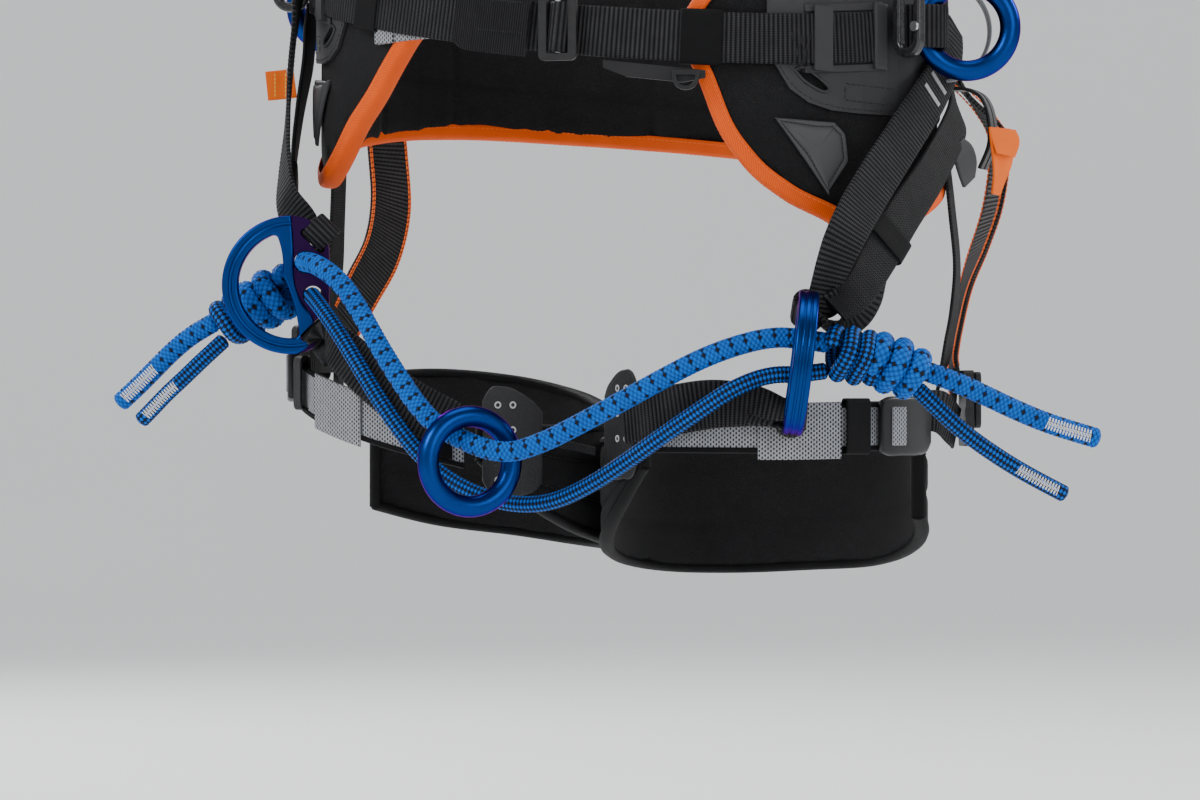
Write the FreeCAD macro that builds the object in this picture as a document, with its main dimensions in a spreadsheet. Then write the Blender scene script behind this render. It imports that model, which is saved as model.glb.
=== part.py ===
import FreeCAD, Part
import math
import os
import Sketcher
from FreeCAD import Placement, Rotation, Vector

# Tree climbing saddle, in millimetres. The origin is the centre of the waist at the height of
# the front belt. +Z is up, +X is the wearer's left and -Y is the wearer's front. The saddle
# hangs as it does on a standing climber: a waist belt on an elliptical hip, two leg loops on
# round thighs, and a rope bridge that joins two D plates in front.

doc = FreeCAD.newDocument("ClimbingSaddle")

SIZES = [
    ("hip_half_width", 188), ("hip_half_depth", 126),
    ("thigh_radius", 95), ("thigh_offset", 100), ("thigh_front", 35),
    ("side_tilt", 0.11), ("back_rise", 27),
    ("pad_thickness", 11), ("binding_width", 8), ("layer_gap", 0.4),
    ("plate_thickness", 2), ("webbing_width", 30), ("webbing_thickness", 2.6),
    ("side_ring_radius", 26), ("side_ring_section", 6.2), ("side_ring_reach", 22),
    ("ring_loop_radius", 12.4), ("ring_loop_width", 26),
    ("bridge_ring_radius", 26.6), ("bridge_ring_section", 6.3), ("bridge_ring_drop", 11),
    ("dplate_radius", 42.3), ("dplate_inner_radius", 32.4), ("dplate_corner", 23),
    ("dplate_centre", 9.5), ("dplate_edge", 32.5),
    ("dplate_rim_thickness", 11.5), ("dplate_web_thickness", 7),
    ("thick_rope", 12), ("thin_rope", 10), ("rope_clearance", 2),
    ("slot_length", 14), ("slot_width", 5),
    ("buckle_width", 24), ("buckle_height", 42), ("buckle_thickness", 3.6),
    ("buckle_slot_width", 13), ("buckle_slot_height", 33), ("buckle_bar_radius", 1.6),
    ("shackle_width", 24), ("shackle_height", 60), ("shackle_bar", 6), ("screw_radius", 3),
    ("knot_radius", 17), ("knot_neck", 12), ("knot_length", 28),
    ("leg_pad_inset", 3.6), ("leg_pad_thickness", 8),
    ("adjuster_width", 42), ("adjuster_height", 46), ("adjuster_thickness", 5),
    ("adjuster_slot_width", 33), ("adjuster_slot_height", 9), ("lever_thickness", 4),
    ("adjuster_reach", 28),
    ("seam_gap", 0.2), ("belt_panel_height", 46), ("keeper_thickness", 1.4), ("keeper_margin", 2),
    ("ring_guard_radius", 31), ("ring_guard_width", 14), ("ring_guard_thickness", 2),
    ("screw_head", 1.6), ("hip_keeper_width", 31), ("hip_keeper_thickness", 1.6),
    ("rear_strap_thickness", 3), ("riser_width", 18), ("side_strap_width", 26),
    ("light_strap_thickness", 2.2), ("clip_bar_width", 7), ("clip_bar_spacing", 9),
    ("leg_band_lift", 1.2), ("leg_band_thickness", 2.4), ("leg_cover_lift", 5.8),
    ("leg_cover_thickness", 4.8), ("leg_keeper_thickness", 1.6), ("leg_tab_thickness", 2),
]

sheet = doc.addObject("Spreadsheet::Sheet", "Sizes")
for row, (alias, value) in enumerate(SIZES, start=1):
    sheet.set("A%d" % row, alias.replace("_", " "))
    sheet.set("B%d" % row, str(value))
    sheet.setAlias("B%d" % row, alias)
doc.recompute()


def size(alias):
    """The value of one driving dimension."""
    return float(getattr(sheet, alias))


NODES = []

# The bridge and the side rings hang turned by this much from the wearer's own left and right.
BRIDGE_TURN = math.radians(20)
ACROSS = Vector(math.cos(BRIDGE_TURN), math.sin(BRIDGE_TURN), 0)
AWAY = Vector(-math.sin(BRIDGE_TURN), math.cos(BRIDGE_TURN), 0)
UP = Vector(0, 0, 1)


# ---------------------------------------------------------------- surfaces of the wearer

def hip_facing(angle):
    """Outward direction of the hip ellipse. The angle runs from the front towards +X."""
    turn = math.radians(angle)
    facing = Vector(math.sin(turn) / size("hip_half_width"), -math.cos(turn) / size("hip_half_depth"), 0)
    return facing.normalize()


def hip_point(angle, height, out):
    """A point on the hip, at a height over the belt line and a distance out from the body."""
    turn = math.radians(angle)
    point = Vector(size("hip_half_width") * math.sin(turn), -size("hip_half_depth") * math.cos(turn), 0)
    point += hip_facing(angle) * out
    return Vector(point.x, point.y, height - size("side_tilt") * point.x)


def belt_rise(angle):
    """The belt's height, which grows towards the back."""
    return size("back_rise") * (1 - math.cos(math.radians(angle)))


def leg_facing(side, angle):
    """Outward direction of a thigh. The angle runs from the front towards the outside."""
    turn = math.radians(angle)
    return Vector(side * math.sin(turn), -math.cos(turn), 0)


def leg_point(side, angle, height, out):
    """A point on a thigh, at an absolute height and a distance out from the skin."""
    centre = Vector(side * size("thigh_offset"), -size("thigh_front"), height)
    return centre + leg_facing(side, angle) * (size("thigh_radius") + out)


# ---------------------------------------------------------------- shapes

def loft(sections):
    """A closed solid through four-cornered sections, with flat sides between them."""
    wires = [Part.makePolygon(corners + [corners[0]]) for corners in sections]
    return Part.makeLoft(wires, True, True)


def refined(stations):
    """The same band with stations at every fifth degree, so that layers bend together."""
    result = [stations[0]]
    for (start, low, high), (end, low_end, high_end) in zip(stations, stations[1:]):
        first, last = sorted((start, end))
        grid = [angle for angle in range(-360, 361, 5) if first + 0.7 < angle < last - 0.7]
        for angle in sorted(grid, reverse=end < start):
            share = (angle - start) / (end - start)
            result.append((angle, low + (low_end - low) * share, high + (high_end - high) * share))
        result.append((end, low_end, high_end))
    return result


def hip_strip(stations, inner, outer):
    """A band that lies on the hip. Each station is an angle, a low edge and a high edge."""
    sections = []
    for angle, low, high in refined(stations):
        sections.append([hip_point(angle, low, inner), hip_point(angle, low, outer),
                         hip_point(angle, high, outer), hip_point(angle, high, inner)])
    return loft(sections)


def leg_strip(side, stations, inner, outer):
    """A band that lies on a thigh. Each station is an angle, a low edge and a high edge."""
    sections = []
    for angle, low, high in refined(stations):
        sections.append([leg_point(side, angle, low, inner), leg_point(side, angle, low, outer),
                         leg_point(side, angle, high, outer), leg_point(side, angle, high, inner)])
    return loft(sections)


def spread(start, end, count, edges):
    """Stations at equal angles between two ends, with the edges given by a function."""
    angles = [start + (end - start) * step / count for step in range(count + 1)]
    return [(angle,) + edges(angle) for angle in angles]


def belt_edges(width, shift=0):
    """Edges of a band of a given width, centred on the belt line."""
    return lambda angle: (belt_rise(angle) + shift - width / 2, belt_rise(angle) + shift + width / 2)


def ribbon(route, facings, width, thickness):
    """A flat strap along a route. Each facing is the direction that its broad side looks."""
    sections = []
    for index, point in enumerate(route):
        before = route[max(index - 1, 0)]
        after = route[min(index + 1, len(route) - 1)]
        along = (after - before).normalize()
        across = along.cross(facings[index]).normalize()
        out = across.cross(along).normalize()
        wide = width[index] if isinstance(width, list) else width
        half, deep = across * (wide / 2), out * (thickness / 2)
        sections.append([point - half - deep, point + half - deep,
                         point + half + deep, point - half + deep])
    return loft(sections)


def rope_wire(name, points):
    """Straight runs joined by tangent arcs, and a line that reports the arcs' radii."""
    edges, radii = [], []
    start = points[0]
    for before, corner, after in zip(points, points[1:], points[2:]):
        arriving, leaving = corner - before, after - corner
        turn = arriving.getAngle(leaving)
        reach = 0.45 * min(arriving.Length, leaving.Length)
        radius = reach / math.tan(turn / 2)
        into = Vector(arriving).normalize()
        onto = Vector(leaving).normalize()
        first, last = corner - into * reach, corner + onto * reach
        inward = (onto - into).normalize()
        middle = corner + inward * (radius / math.cos(turn / 2) - radius)
        edges.append(Part.LineSegment(start, first).toShape())
        edges.append(Part.Arc(first, middle, last).toShape())
        radii.append(radius)
        start = last
    edges.append(Part.LineSegment(start, points[-1]).toShape())
    print("%s: arc radii %s" % (name, " ".join("%.0f" % radius for radius in radii)))
    return Part.Wire(edges)


def rope_tube(name, route, diameter):
    """A round rope along its route, checked against section times length."""
    points = [Vector(*point) for point in route]
    path = rope_wire(name, points)
    circle = Part.Wire(Part.makeCircle(diameter / 2, points[0], points[1] - points[0]))
    tube = path.makePipeShell([circle], True, False)
    expected = math.pi * diameter ** 2 / 4 * path.Length
    print("%s: length %.0f, volume over expected %.3f" % (name, path.Length, tube.Volume / expected))
    return tube


# ---------------------------------------------------------------- document objects

def solid_piece(label, *solids):
    """A sub-part whose shape is set here: one solid, or a group of separate ones."""
    piece = doc.addObject("Part::Feature", label)
    piece.Label = label
    piece.Shape = solids[0] if len(solids) == 1 else Part.makeCompound(list(solids))
    piece.Placement = Placement()
    NODES.append(piece)
    return piece


def new_body(label, placement):
    """An empty PartDesign body for one sub-part."""
    body = doc.addObject("PartDesign::Body", label)
    body.Label = label
    body.Placement = placement
    NODES.append(body)
    return body


def origin_plane(body, role):
    """One of the body's own origin planes."""
    return next(plane for plane in body.Origin.OriginFeatures if plane.Role == role)


def sketch_on(body, name, role="XY_Plane"):
    """An empty sketch on one of the body's origin planes."""
    sketch = body.newObject("Sketcher::SketchObject", body.Label + "_" + name)
    sketch.AttachmentSupport = [(origin_plane(body, role), "")]
    sketch.MapMode = "FlatFace"
    return sketch


def draw_circle(sketch, name, x, y, radius_expression):
    """A circle whose radius follows an expression."""
    index = sketch.addGeometry(Part.Circle(Vector(x, y, 0), UP, 3), False)
    sketch.addConstraint(Sketcher.Constraint("DistanceX", -1, 1, index, 3, x))
    sketch.addConstraint(Sketcher.Constraint("DistanceY", -1, 1, index, 3, y))
    radius = sketch.addConstraint(Sketcher.Constraint("Radius", index, 3))
    sketch.renameConstraint(radius, name)
    sketch.setExpression("Constraints." + name, radius_expression)


def draw_rectangle(sketch, name, wide, high, centre=(0, 0)):
    """A rectangle with its size bound to two expressions."""
    x, y = centre
    corners = [Vector(x + right, y + above, 0) for right, above in ((-5, -5), (5, -5), (5, 5), (-5, 5))]
    first = sketch.GeometryCount
    for index in range(4):
        sketch.addGeometry(Part.LineSegment(corners[index], corners[(index + 1) % 4]), False)
    for index in range(4):
        following = first + (index + 1) % 4
        sketch.addConstraint(Sketcher.Constraint("Coincident", first + index, 2, following, 1))
        direction = "Horizontal" if index % 2 == 0 else "Vertical"
        sketch.addConstraint(Sketcher.Constraint(direction, first + index))
    along = sketch.addConstraint(Sketcher.Constraint("DistanceX", first, 1, first, 2, 10))
    upward = sketch.addConstraint(Sketcher.Constraint("DistanceY", first + 1, 1, first + 1, 2, 10))
    left = sketch.addConstraint(Sketcher.Constraint("DistanceX", -1, 1, first, 1, x - 5))
    low = sketch.addConstraint(Sketcher.Constraint("DistanceY", -1, 1, first, 1, y - 5))
    for index, label in ((along, "wide"), (upward, "high"), (left, "left"), (low, "low")):
        sketch.renameConstraint(index, name + label)
    sketch.setExpression("Constraints." + name + "wide", wide)
    sketch.setExpression("Constraints." + name + "high", high)
    sketch.setExpression("Constraints." + name + "left", "%s - (%s) / 2" % (x, wide))
    sketch.setExpression("Constraints." + name + "low", "%s - (%s) / 2" % (y, high))


def pad(body, sketch, length):
    """Material on both sides of the sketch."""
    feature = body.newObject("PartDesign::Pad", sketch.Name + "_pad")
    feature.Profile = sketch
    feature.Midplane = True
    feature.setExpression("Length", length)
    return feature


def pocket(body, sketch, length):
    """A cut on both sides of the sketch, checked by the volume that it takes."""
    doc.recompute()
    before = body.Shape.Volume
    feature = body.newObject("PartDesign::Pocket", sketch.Name + "_pocket")
    feature.Profile = sketch
    feature.Midplane = True
    feature.setExpression("Length", length)
    doc.recompute()
    if body.Shape.Volume > before - 1:
        raise RuntimeError(sketch.Name + " cuts nothing")
    return feature


def corner_edge(thickness):
    """A test for the edges that run straight through a plate of this thickness."""
    return lambda edge: abs(edge.BoundBox.ZLength - thickness) < 0.01


def flat_edge(edge):
    """A test for the edges that lie in a plate's faces."""
    return edge.BoundBox.ZLength < 0.01


def round_edges(body, feature, radius, chosen):
    """A fillet on the edges that a test chooses."""
    doc.recompute()
    names = ["Edge%d" % (index + 1) for index, edge in enumerate(feature.Shape.Edges) if chosen(edge)]
    fillet = body.newObject("PartDesign::Fillet", body.Label + "_round%d" % len(body.Group))
    fillet.Base = (feature, names)
    fillet.Radius = radius
    doc.recompute()
    return fillet


def facing_placement(position, across, up):
    """A placement whose X axis is across, and whose Y axis is up."""
    normal = across.cross(up).normalize()
    upright = normal.cross(across).normalize()
    matrix = FreeCAD.Matrix(across.x, upright.x, normal.x, position.x,
                            across.y, upright.y, normal.y, position.y,
                            across.z, upright.z, normal.z, position.z,
                            0, 0, 0, 1)
    return Placement(matrix)


def torus_piece(label, ring_radius, section_radius, position, axis):
    """A ring of round section."""
    ring = doc.addObject("Part::Torus", label)
    ring.Label = label
    ring.setExpression("Radius1", ring_radius)
    ring.setExpression("Radius2", section_radius)
    ring.Placement = Placement(position, Rotation(UP, axis))
    NODES.append(ring)
    return ring


# ---------------------------------------------------------------- waist belt

PAD_LEFT_HIP = [(24, -4, 14), (27, -22, 30), (30, -46, 40), (35, -68, 50), (43, -86, 60),
                (52, -96, 66), (62, -106, 70), (72, -101, 73), (84, -88, 75), (100, -76, 77),
                (125, -68, 79), (150, -64, 80), (180, -62, 80)]
PAD_RIGHT_HIP = [(205, -64, 80), (230, -68, 79), (252, -76, 78), (268, -86, 76), (280, -100, 74),
                 (290, -108, 71), (299, -102, 68), (306, -90, 64), (313, -71, 58), (320, -52, 50),
                 (326, -30, 42), (331, -12, 30), (336, -2, 14)]
PAD_OUTLINE = PAD_LEFT_HIP + PAD_RIGHT_HIP


def steep_inset(side):
    """How far the binding reaches in from one edge of the outline, measured upright."""
    insets = []
    for index in range(len(PAD_OUTLINE)):
        before = PAD_OUTLINE[max(index - 1, 0)]
        after = PAD_OUTLINE[min(index + 1, len(PAD_OUTLINE) - 1)]
        start, end = hip_point(before[0], before[side], 0), hip_point(after[0], after[side], 0)
        run = math.hypot(end.x - start.x, end.y - start.y)
        slope = math.atan2(end.z - start.z, run)
        insets.append(min(size("binding_width") / math.cos(slope), 1.8 * size("binding_width")))
    return insets


LOW_INSET, HIGH_INSET = steep_inset(1), steep_inset(2)
GAP = size("layer_gap")
PAD_OUT = size("pad_thickness")
PLATE_IN = PAD_OUT + GAP
PLATE_OUT = PLATE_IN + size("plate_thickness")
BELT_IN = PLATE_OUT + GAP
BELT_OUT = BELT_IN + size("webbing_thickness")
COVER_IN = BELT_OUT + GAP
COVER_OUT = COVER_IN + size("plate_thickness")
BELT_WIDTH = size("webbing_width")
FRONT_EDGE = 2.0


def make_waist_pad():
    """The padded belt round the back and both hips, open in front, and its edge binding."""
    core, low_tape, high_tape = [], [], []
    seam = size("seam_gap")
    for (angle, low, high), rise, fall in zip(PAD_OUTLINE, LOW_INSET, HIGH_INSET):
        low_tape.append((angle, low, low + rise - seam))
        high_tape.append((angle, high - fall + seam, high))
        core.append((angle, low + rise + seam, high - fall - seam))
    first, last = PAD_OUTLINE[0], PAD_OUTLINE[-1]
    core[0] = (first[0] + FRONT_EDGE, 2, 9)
    core[-1] = (last[0] - FRONT_EDGE, 3, 10)
    low_tape[0] = (first[0], first[1], 1)
    low_tape[-1] = (last[0], last[1], 2)
    high_tape[0] = (first[0], 10, first[2])
    high_tape[-1] = (last[0], 11, last[2])
    ends = []
    for (angle, low, high), near, far in ((first, -FRONT_EDGE, -seam), (last, seam, FRONT_EDGE)):
        ends.append(hip_strip([(angle + near, low, high), (angle + far, low, high)], 0, PAD_OUT))
    solid_piece("waist_pad", hip_strip(core, 0, PAD_OUT))
    solid_piece("waist_binding", hip_strip(low_tape, 0, PAD_OUT), hip_strip(high_tape, 0, PAD_OUT), *ends)


def make_belt_webbing():
    """The belt webbing: two front halves and the run round the back."""
    edges = belt_edges(BELT_WIDTH)
    solid_piece("belt_webbing_left", hip_strip(spread(8, 63.5, 8, edges), BELT_IN, BELT_OUT))
    solid_piece("belt_webbing_right", hip_strip(spread(-2, -72, 10, edges), BELT_IN, BELT_OUT))
    solid_piece("belt_webbing_rear", hip_strip(spread(92, 238, 16, edges), PLATE_IN, PLATE_OUT))
    panel = spread(-17.5, -3, 3, belt_edges(size("belt_panel_height"), 4))
    solid_piece("front_panel", hip_strip(panel, COVER_IN, COVER_OUT + 0.5))
    solid_piece("grey_liner_tab", hip_strip([(-38, -19, 6), (-30, -15, 8), (-20, -11, 13), (-10, -7, 16)],
                                            PLATE_IN, PLATE_OUT))


def sleeve(start, end):
    """The outer wall of an elastic keeper on the belt."""
    edges = belt_edges(BELT_WIDTH + size("keeper_margin"))
    return hip_strip(spread(start, end, 2, edges), COVER_IN, COVER_IN + size("keeper_thickness"))


def make_keepers():
    """Elastic keepers on the front belt."""
    solid_piece("belt_keepers", sleeve(23.5, 31), sleeve(-43, -36.5))


BUCKLE_ANGLE, BUCKLE_HEIGHT, BUCKLE_CLEARANCE = 2.2, 1.5, 0.6
BAR_CLEARANCE = 0.8


def make_buckle():
    """The waist buckle: a slotted frame over the webbing and its sliding bar."""
    facing = hip_facing(BUCKLE_ANGLE)
    across = UP.cross(facing).normalize()
    lift = COVER_IN + size("buckle_thickness") / 2 + BUCKLE_CLEARANCE
    place = facing_placement(hip_point(BUCKLE_ANGLE, BUCKLE_HEIGHT, lift), across, UP)
    frame = new_body("waist_buckle_frame", place)
    outline = sketch_on(frame, "outline")
    draw_rectangle(outline, "outer", "Sizes.buckle_width", "Sizes.buckle_height")
    plate = pad(frame, outline, "Sizes.buckle_thickness")
    round_edges(frame, plate, 4, corner_edge(size("buckle_thickness")))
    slot = sketch_on(frame, "slot")
    draw_rectangle(slot, "slot", "Sizes.buckle_slot_width", "Sizes.buckle_slot_height")
    cut = pocket(frame, slot, "Sizes.buckle_thickness * 3")
    round_edges(frame, cut, 0.8, flat_edge)
    bar = doc.addObject("Part::Cylinder", "waist_buckle_bar")
    bar.Label = "waist_buckle_bar"
    bar.setExpression("Radius", "Sizes.buckle_bar_radius")
    bar.setExpression("Height", "Sizes.buckle_slot_height - %s" % BAR_CLEARANCE)
    half = (size("buckle_slot_height") - BAR_CLEARANCE) / 2
    bar.Placement = Placement(place.Base - Vector(0, 0, half), Rotation())
    NODES.append(bar)


def draw_stirrup(sketch, radius, shoulder, top):
    """A half circle that hangs from straight sides, closed by a line along the top."""
    left, right = Vector(-radius, shoulder, 0), Vector(radius, shoulder, 0)
    sketch.addGeometry(Part.Arc(left, Vector(0, shoulder - radius, 0), right), False)
    corners = [right, Vector(radius, top, 0), Vector(-radius, top, 0), left]
    for start, end in zip(corners, corners[1:]):
        sketch.addGeometry(Part.LineSegment(start, end), False)


ACCESSORY_CLIP = [(10, -21, -16.5), (14, -25, -16.5), (24, -25, -16.5), (28, -21, -16.5)]
ACCESSORY_ANGLE, ACCESSORY_HEIGHT, ACCESSORY_REACH = 24.5, -19.5, 4


def make_front_accessories():
    """The moulded clip under the front belt, and the small loop that swings from it."""
    solid_piece("accessory_clip", hip_strip(ACCESSORY_CLIP, BELT_IN, BELT_OUT + 1))
    across = UP.cross(hip_facing(ACCESSORY_ANGLE)).normalize()
    hinge = hip_point(ACCESSORY_ANGLE, ACCESSORY_HEIGHT, BELT_OUT + ACCESSORY_REACH)
    loop = new_body("accessory_loop", facing_placement(hinge, across, UP))
    outline = sketch_on(loop, "outline")
    draw_stirrup(outline, 8, -2, 1.6)
    pad(loop, outline, "Sizes.webbing_thickness")
    opening = sketch_on(loop, "opening")
    draw_stirrup(opening, 5.4, -2, -1)
    cut = pocket(loop, opening, "Sizes.webbing_thickness * 3")
    round_edges(loop, cut, 0.7, flat_edge)


PLATE_STATIONS = [(39.5, 6, 34), (41, -8, 44), (44, -22, 52), (48, -29, 56), (53, -32, 58),
                  (60, -32, 58), (67, -31, 58), (76, -29, 56), (84, -22, 50)]
PLATE_TEARDROP = [(45, -12, -9), (47, -18, -9), (50, -22, -14), (52, -22, -17)]
BRIDGE_START, BRIDGE_END, BRIDGE_FOOT = 48.6, 52.4, 3


def make_side_plate(label, sign, shift):
    """The moulded hip plate, with windows for the webbing and a bridge over it."""
    stations = [(sign * angle + shift, low, high) for angle, low, high in PLATE_STATIONS]
    plate = hip_strip(stations, PLATE_IN, PLATE_OUT)
    start, end = sign * BRIDGE_START + shift, sign * BRIDGE_END + shift
    rise = belt_rise((start + end) / 2)
    half = BELT_WIDTH / 2 + 1
    low, high = rise - half - BRIDGE_FOOT, rise + half + BRIDGE_FOOT
    bridge = hip_strip([(start, low, high), (end, low, high)], COVER_IN, COVER_OUT)
    feet = []
    for low in (rise - half - BRIDGE_FOOT, rise + half):
        sides = [(angle, low, low + BRIDGE_FOOT) for angle in (start, end)]
        feet.append(hip_strip(sides, PLATE_OUT - 0.5, COVER_IN + 0.5))
    tear_stations = [(sign * angle + shift, low, high) for angle, low, high in PLATE_TEARDROP]
    tear = hip_strip(tear_stations, PLATE_IN - 1, PLATE_OUT + 1)
    shape = plate.cut(tear).fuse(bridge)
    for foot in feet:
        shape = shape.fuse(foot)
    solid_piece(label, shape.removeSplitter())


def make_rubber_patch(label, angle, height, sign):
    """The bevelled three-sided rubber patch under a side plate."""
    facing = hip_facing(angle)
    across = UP.cross(facing).normalize()
    base = new_body(label, facing_placement(hip_point(angle, height, PLATE_IN + 2.4), across, UP))
    outline = sketch_on(base, "outline")
    corners = [Vector(sign * x, y, 0) for x, y in ((-22, 17), (15, 18), (22, 12), (24, -4), (10, -24))]
    for start, end in zip(corners, corners[1:] + corners[:1]):
        outline.addGeometry(Part.LineSegment(start, end), False)
    plate = pad(base, outline, "Sizes.plate_thickness * 1.6")
    top = size("plate_thickness") * 0.8
    doc.recompute()
    names = ["Edge%d" % (index + 1) for index, edge in enumerate(plate.Shape.Edges)
             if edge.BoundBox.ZLength < 0.01 and abs(edge.BoundBox.ZMin - top) < 0.01]
    bevel = base.newObject("PartDesign::Chamfer", label + "_bevel")
    bevel.Base = (plate, names)
    bevel.Size = 1.6


# Each side ring: its hinge's angle on the hip, its height, and the way that the ring points.
SIDE_RINGS = {
    "left": (75, 24, Vector(ACROSS)),
    "right": (-112, 12, Vector(ACROSS) * -1),
}
GUARD_TURNS = {"left": range(-70, 51, 15), "right": range(10, 116, 15)}


def ring_hinge(side):
    """The upright hinge line of a side ring, inside its webbing loop."""
    angle, height = SIDE_RINGS[side][:2]
    return hip_point(angle, height, size("side_ring_reach"))


def make_side_ring(side):
    """An anodised side ring, and the webbing loop that it swings in."""
    out = SIDE_RINGS[side][2]
    hinge = ring_hinge(side)
    torus_piece("side_ring_" + side, "Sizes.side_ring_radius", "Sizes.side_ring_section",
                hinge + out * size("side_ring_radius"), UP.cross(out))
    print("side ring %s hinge at %s" % (side, hinge))
    normal = hip_facing(SIDE_RINGS[side][0])
    along = UP.cross(normal)
    thick = size("webbing_thickness")
    radius = size("ring_loop_radius") + thick / 2
    foot = size("side_ring_reach") - BELT_OUT - thick / 2 - GAP
    route = [hinge - along * (radius + 6) - normal * foot, hinge - along * (radius + 2) - normal * foot]
    facings = [normal, (normal - along).normalize()]
    for turn in range(-80, 81, 20):
        direction = normal * math.cos(math.radians(turn)) + along * math.sin(math.radians(turn))
        route.append(hinge + direction * radius)
        facings.append(direction)
    route += [hinge + along * (radius + 2) - normal * foot, hinge + along * (radius + 6) - normal * foot]
    facings += [(normal + along).normalize(), normal]
    solid_piece("ring_loop_" + side, ribbon(route, facings, size("ring_loop_width"), thick))


def make_ring_guards():
    """The curved plastic band behind each side ring."""
    bands = []
    for side in ("left", "right"):
        out = SIDE_RINGS[side][2]
        centre = ring_hinge(side) + out * 12 + AWAY * 30
        route, facings = [], []
        for turn in GUARD_TURNS[side]:
            direction = out * math.cos(math.radians(turn)) + UP * math.sin(math.radians(turn))
            route.append(centre + direction * size("ring_guard_radius"))
            facings.append(direction)
        bands.append(ribbon(route, facings, size("ring_guard_width"), size("ring_guard_thickness")))
    solid_piece("ring_guards", *bands)


def make_shackle(side, angle, height):
    """A U-shaped shackle that carries the hip straps, with a screw through its head."""
    reach = BELT_OUT + size("webbing_thickness") + 1.8 + size("shackle_width") / 2
    place = facing_placement(hip_point(angle, height, reach), hip_facing(angle), UP)
    body = new_body("shackle_" + side, place)
    outline = sketch_on(body, "outline")
    draw_rectangle(outline, "outer", "Sizes.shackle_width", "Sizes.shackle_height")
    plate = pad(body, outline, "Sizes.shackle_bar")
    round_edges(body, plate, 11, corner_edge(size("shackle_bar")))
    opening = sketch_on(body, "opening")
    draw_rectangle(opening, "opening", "Sizes.shackle_width - 2 * Sizes.shackle_bar",
                   "Sizes.shackle_height - 2 * Sizes.shackle_bar")
    cut = pocket(body, opening, "Sizes.shackle_bar * 3")
    half_opening = size("shackle_width") / 2 - size("shackle_bar")
    inside = round_edges(body, cut, 5, lambda edge: edge.BoundBox.ZLength > 1 and
                         abs(edge.BoundBox.XMax) < half_opening + 0.1)
    round_edges(body, inside, 1.9, flat_edge)
    return place


def make_shackles():
    """Both shackles and the two screws."""
    screws = []
    for side, angle, height in (("left", 67, 34), ("right", -84, 30)):
        place = make_shackle(side, angle, height)
        arm = (size("shackle_width") - size("shackle_bar")) / 2
        front = -1 if place.Rotation.multVec(UP).y > 0 else 1
        head = place.multVec(Vector(arm, -12, front * (size("shackle_bar") / 2 + 0.1)))
        normal = place.Rotation.multVec(UP * front)
        screws.append(Part.makeCylinder(size("screw_radius"), size("screw_head"), head, normal))
    solid_piece("shackle_screws", *screws)


# Each hip strap: its route from the hip to the slot in the D plate, and the way it faces.
HIP_STRAPS = {
    "hip_strap_front_left": ([(206, 1, -13), (205, -31, -36), (196, -68, -68), (187, -101, -98),
                              (179, -131, -130), (170.8, -144.2, -152)],
                             [(1, -0.3, 0.1), (1, -0.5, 0.1), (0.9, -0.7, 0.1), (0.8, -0.8, 0.1),
                              (0.7, -0.9, 0.1), (0.6, -1, 0.1)],
                             [30, 30, 30, 28, 24, 19]),
    "hip_strap_rear_left": ([(207, 14, -52), (205, -32, -84), (198, -70, -112), (192, -98, -136),
                             (185, -118, -157), (174, -128, -168.5)],
                            [(1, -0.3, 0.1), (1, -0.5, 0.1), (0.9, -0.7, 0.1), (0.9, -0.8, 0.1),
                             (0.9, -0.7, 0.2), (0.6, -0.6, 0.5)],
                            [30, 30, 28, 26, 22, 18]),
    "hip_strap_front_right": ([(-200, -58, 10), (-200, -64, -16), (-199, -71, -48), (-196, -82, -76),
                               (-188, -95, -100), (-175.5, -102.5, -118)],
                              [(-1, -0.4, 0), (-1, -0.4, 0), (-1, -0.5, 0), (-0.9, -0.7, 0),
                               (-0.5, -0.9, 0), (0.1, -1, 0)],
                              [30, 30, 30, 28, 24, 19]),
    "hip_strap_rear_right": ([(-205, -26, -10), (-206, -36, -40), (-204, -50, -72), (-198, -66, -98),
                              (-186, -84, -116), (-172, -96, -122)],
                             [(-1, -0.2, 0), (-1, -0.3, 0), (-1, -0.4, 0), (-0.9, -0.6, 0.1),
                              (-0.7, -0.7, 0.3), (-0.4, -0.7, 0.5)],
                             [30, 30, 28, 26, 22, 18]),
}


def make_hip_straps():
    """The four straps from the hips to the D plates."""
    for label, (route, facings, widths) in HIP_STRAPS.items():
        points = [Vector(*point) for point in route]
        looks = [Vector(*facing).normalize() for facing in facings]
        solid_piece(label, ribbon(points, looks, widths, size("webbing_thickness")))


def make_hip_keepers():
    """The elastic keepers round the rear hip straps, near the D plates."""
    bands = []
    for label in ("hip_strap_rear_left", "hip_strap_rear_right"):
        route, facings = HIP_STRAPS[label][:2]
        start, end = Vector(*route[2]), Vector(*route[3])
        looks = [Vector(*facing).normalize() for facing in facings[2:4]]
        middle = [start + (end - start) * 0.25, start + (end - start) * 0.9]
        lifted = [point + look * (size("webbing_thickness") + 2 * GAP) for point, look in zip(middle, looks)]
        bands.append(ribbon(lifted, looks, size("hip_keeper_width"), size("hip_keeper_thickness")))
    solid_piece("hip_keepers", *bands)


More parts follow.
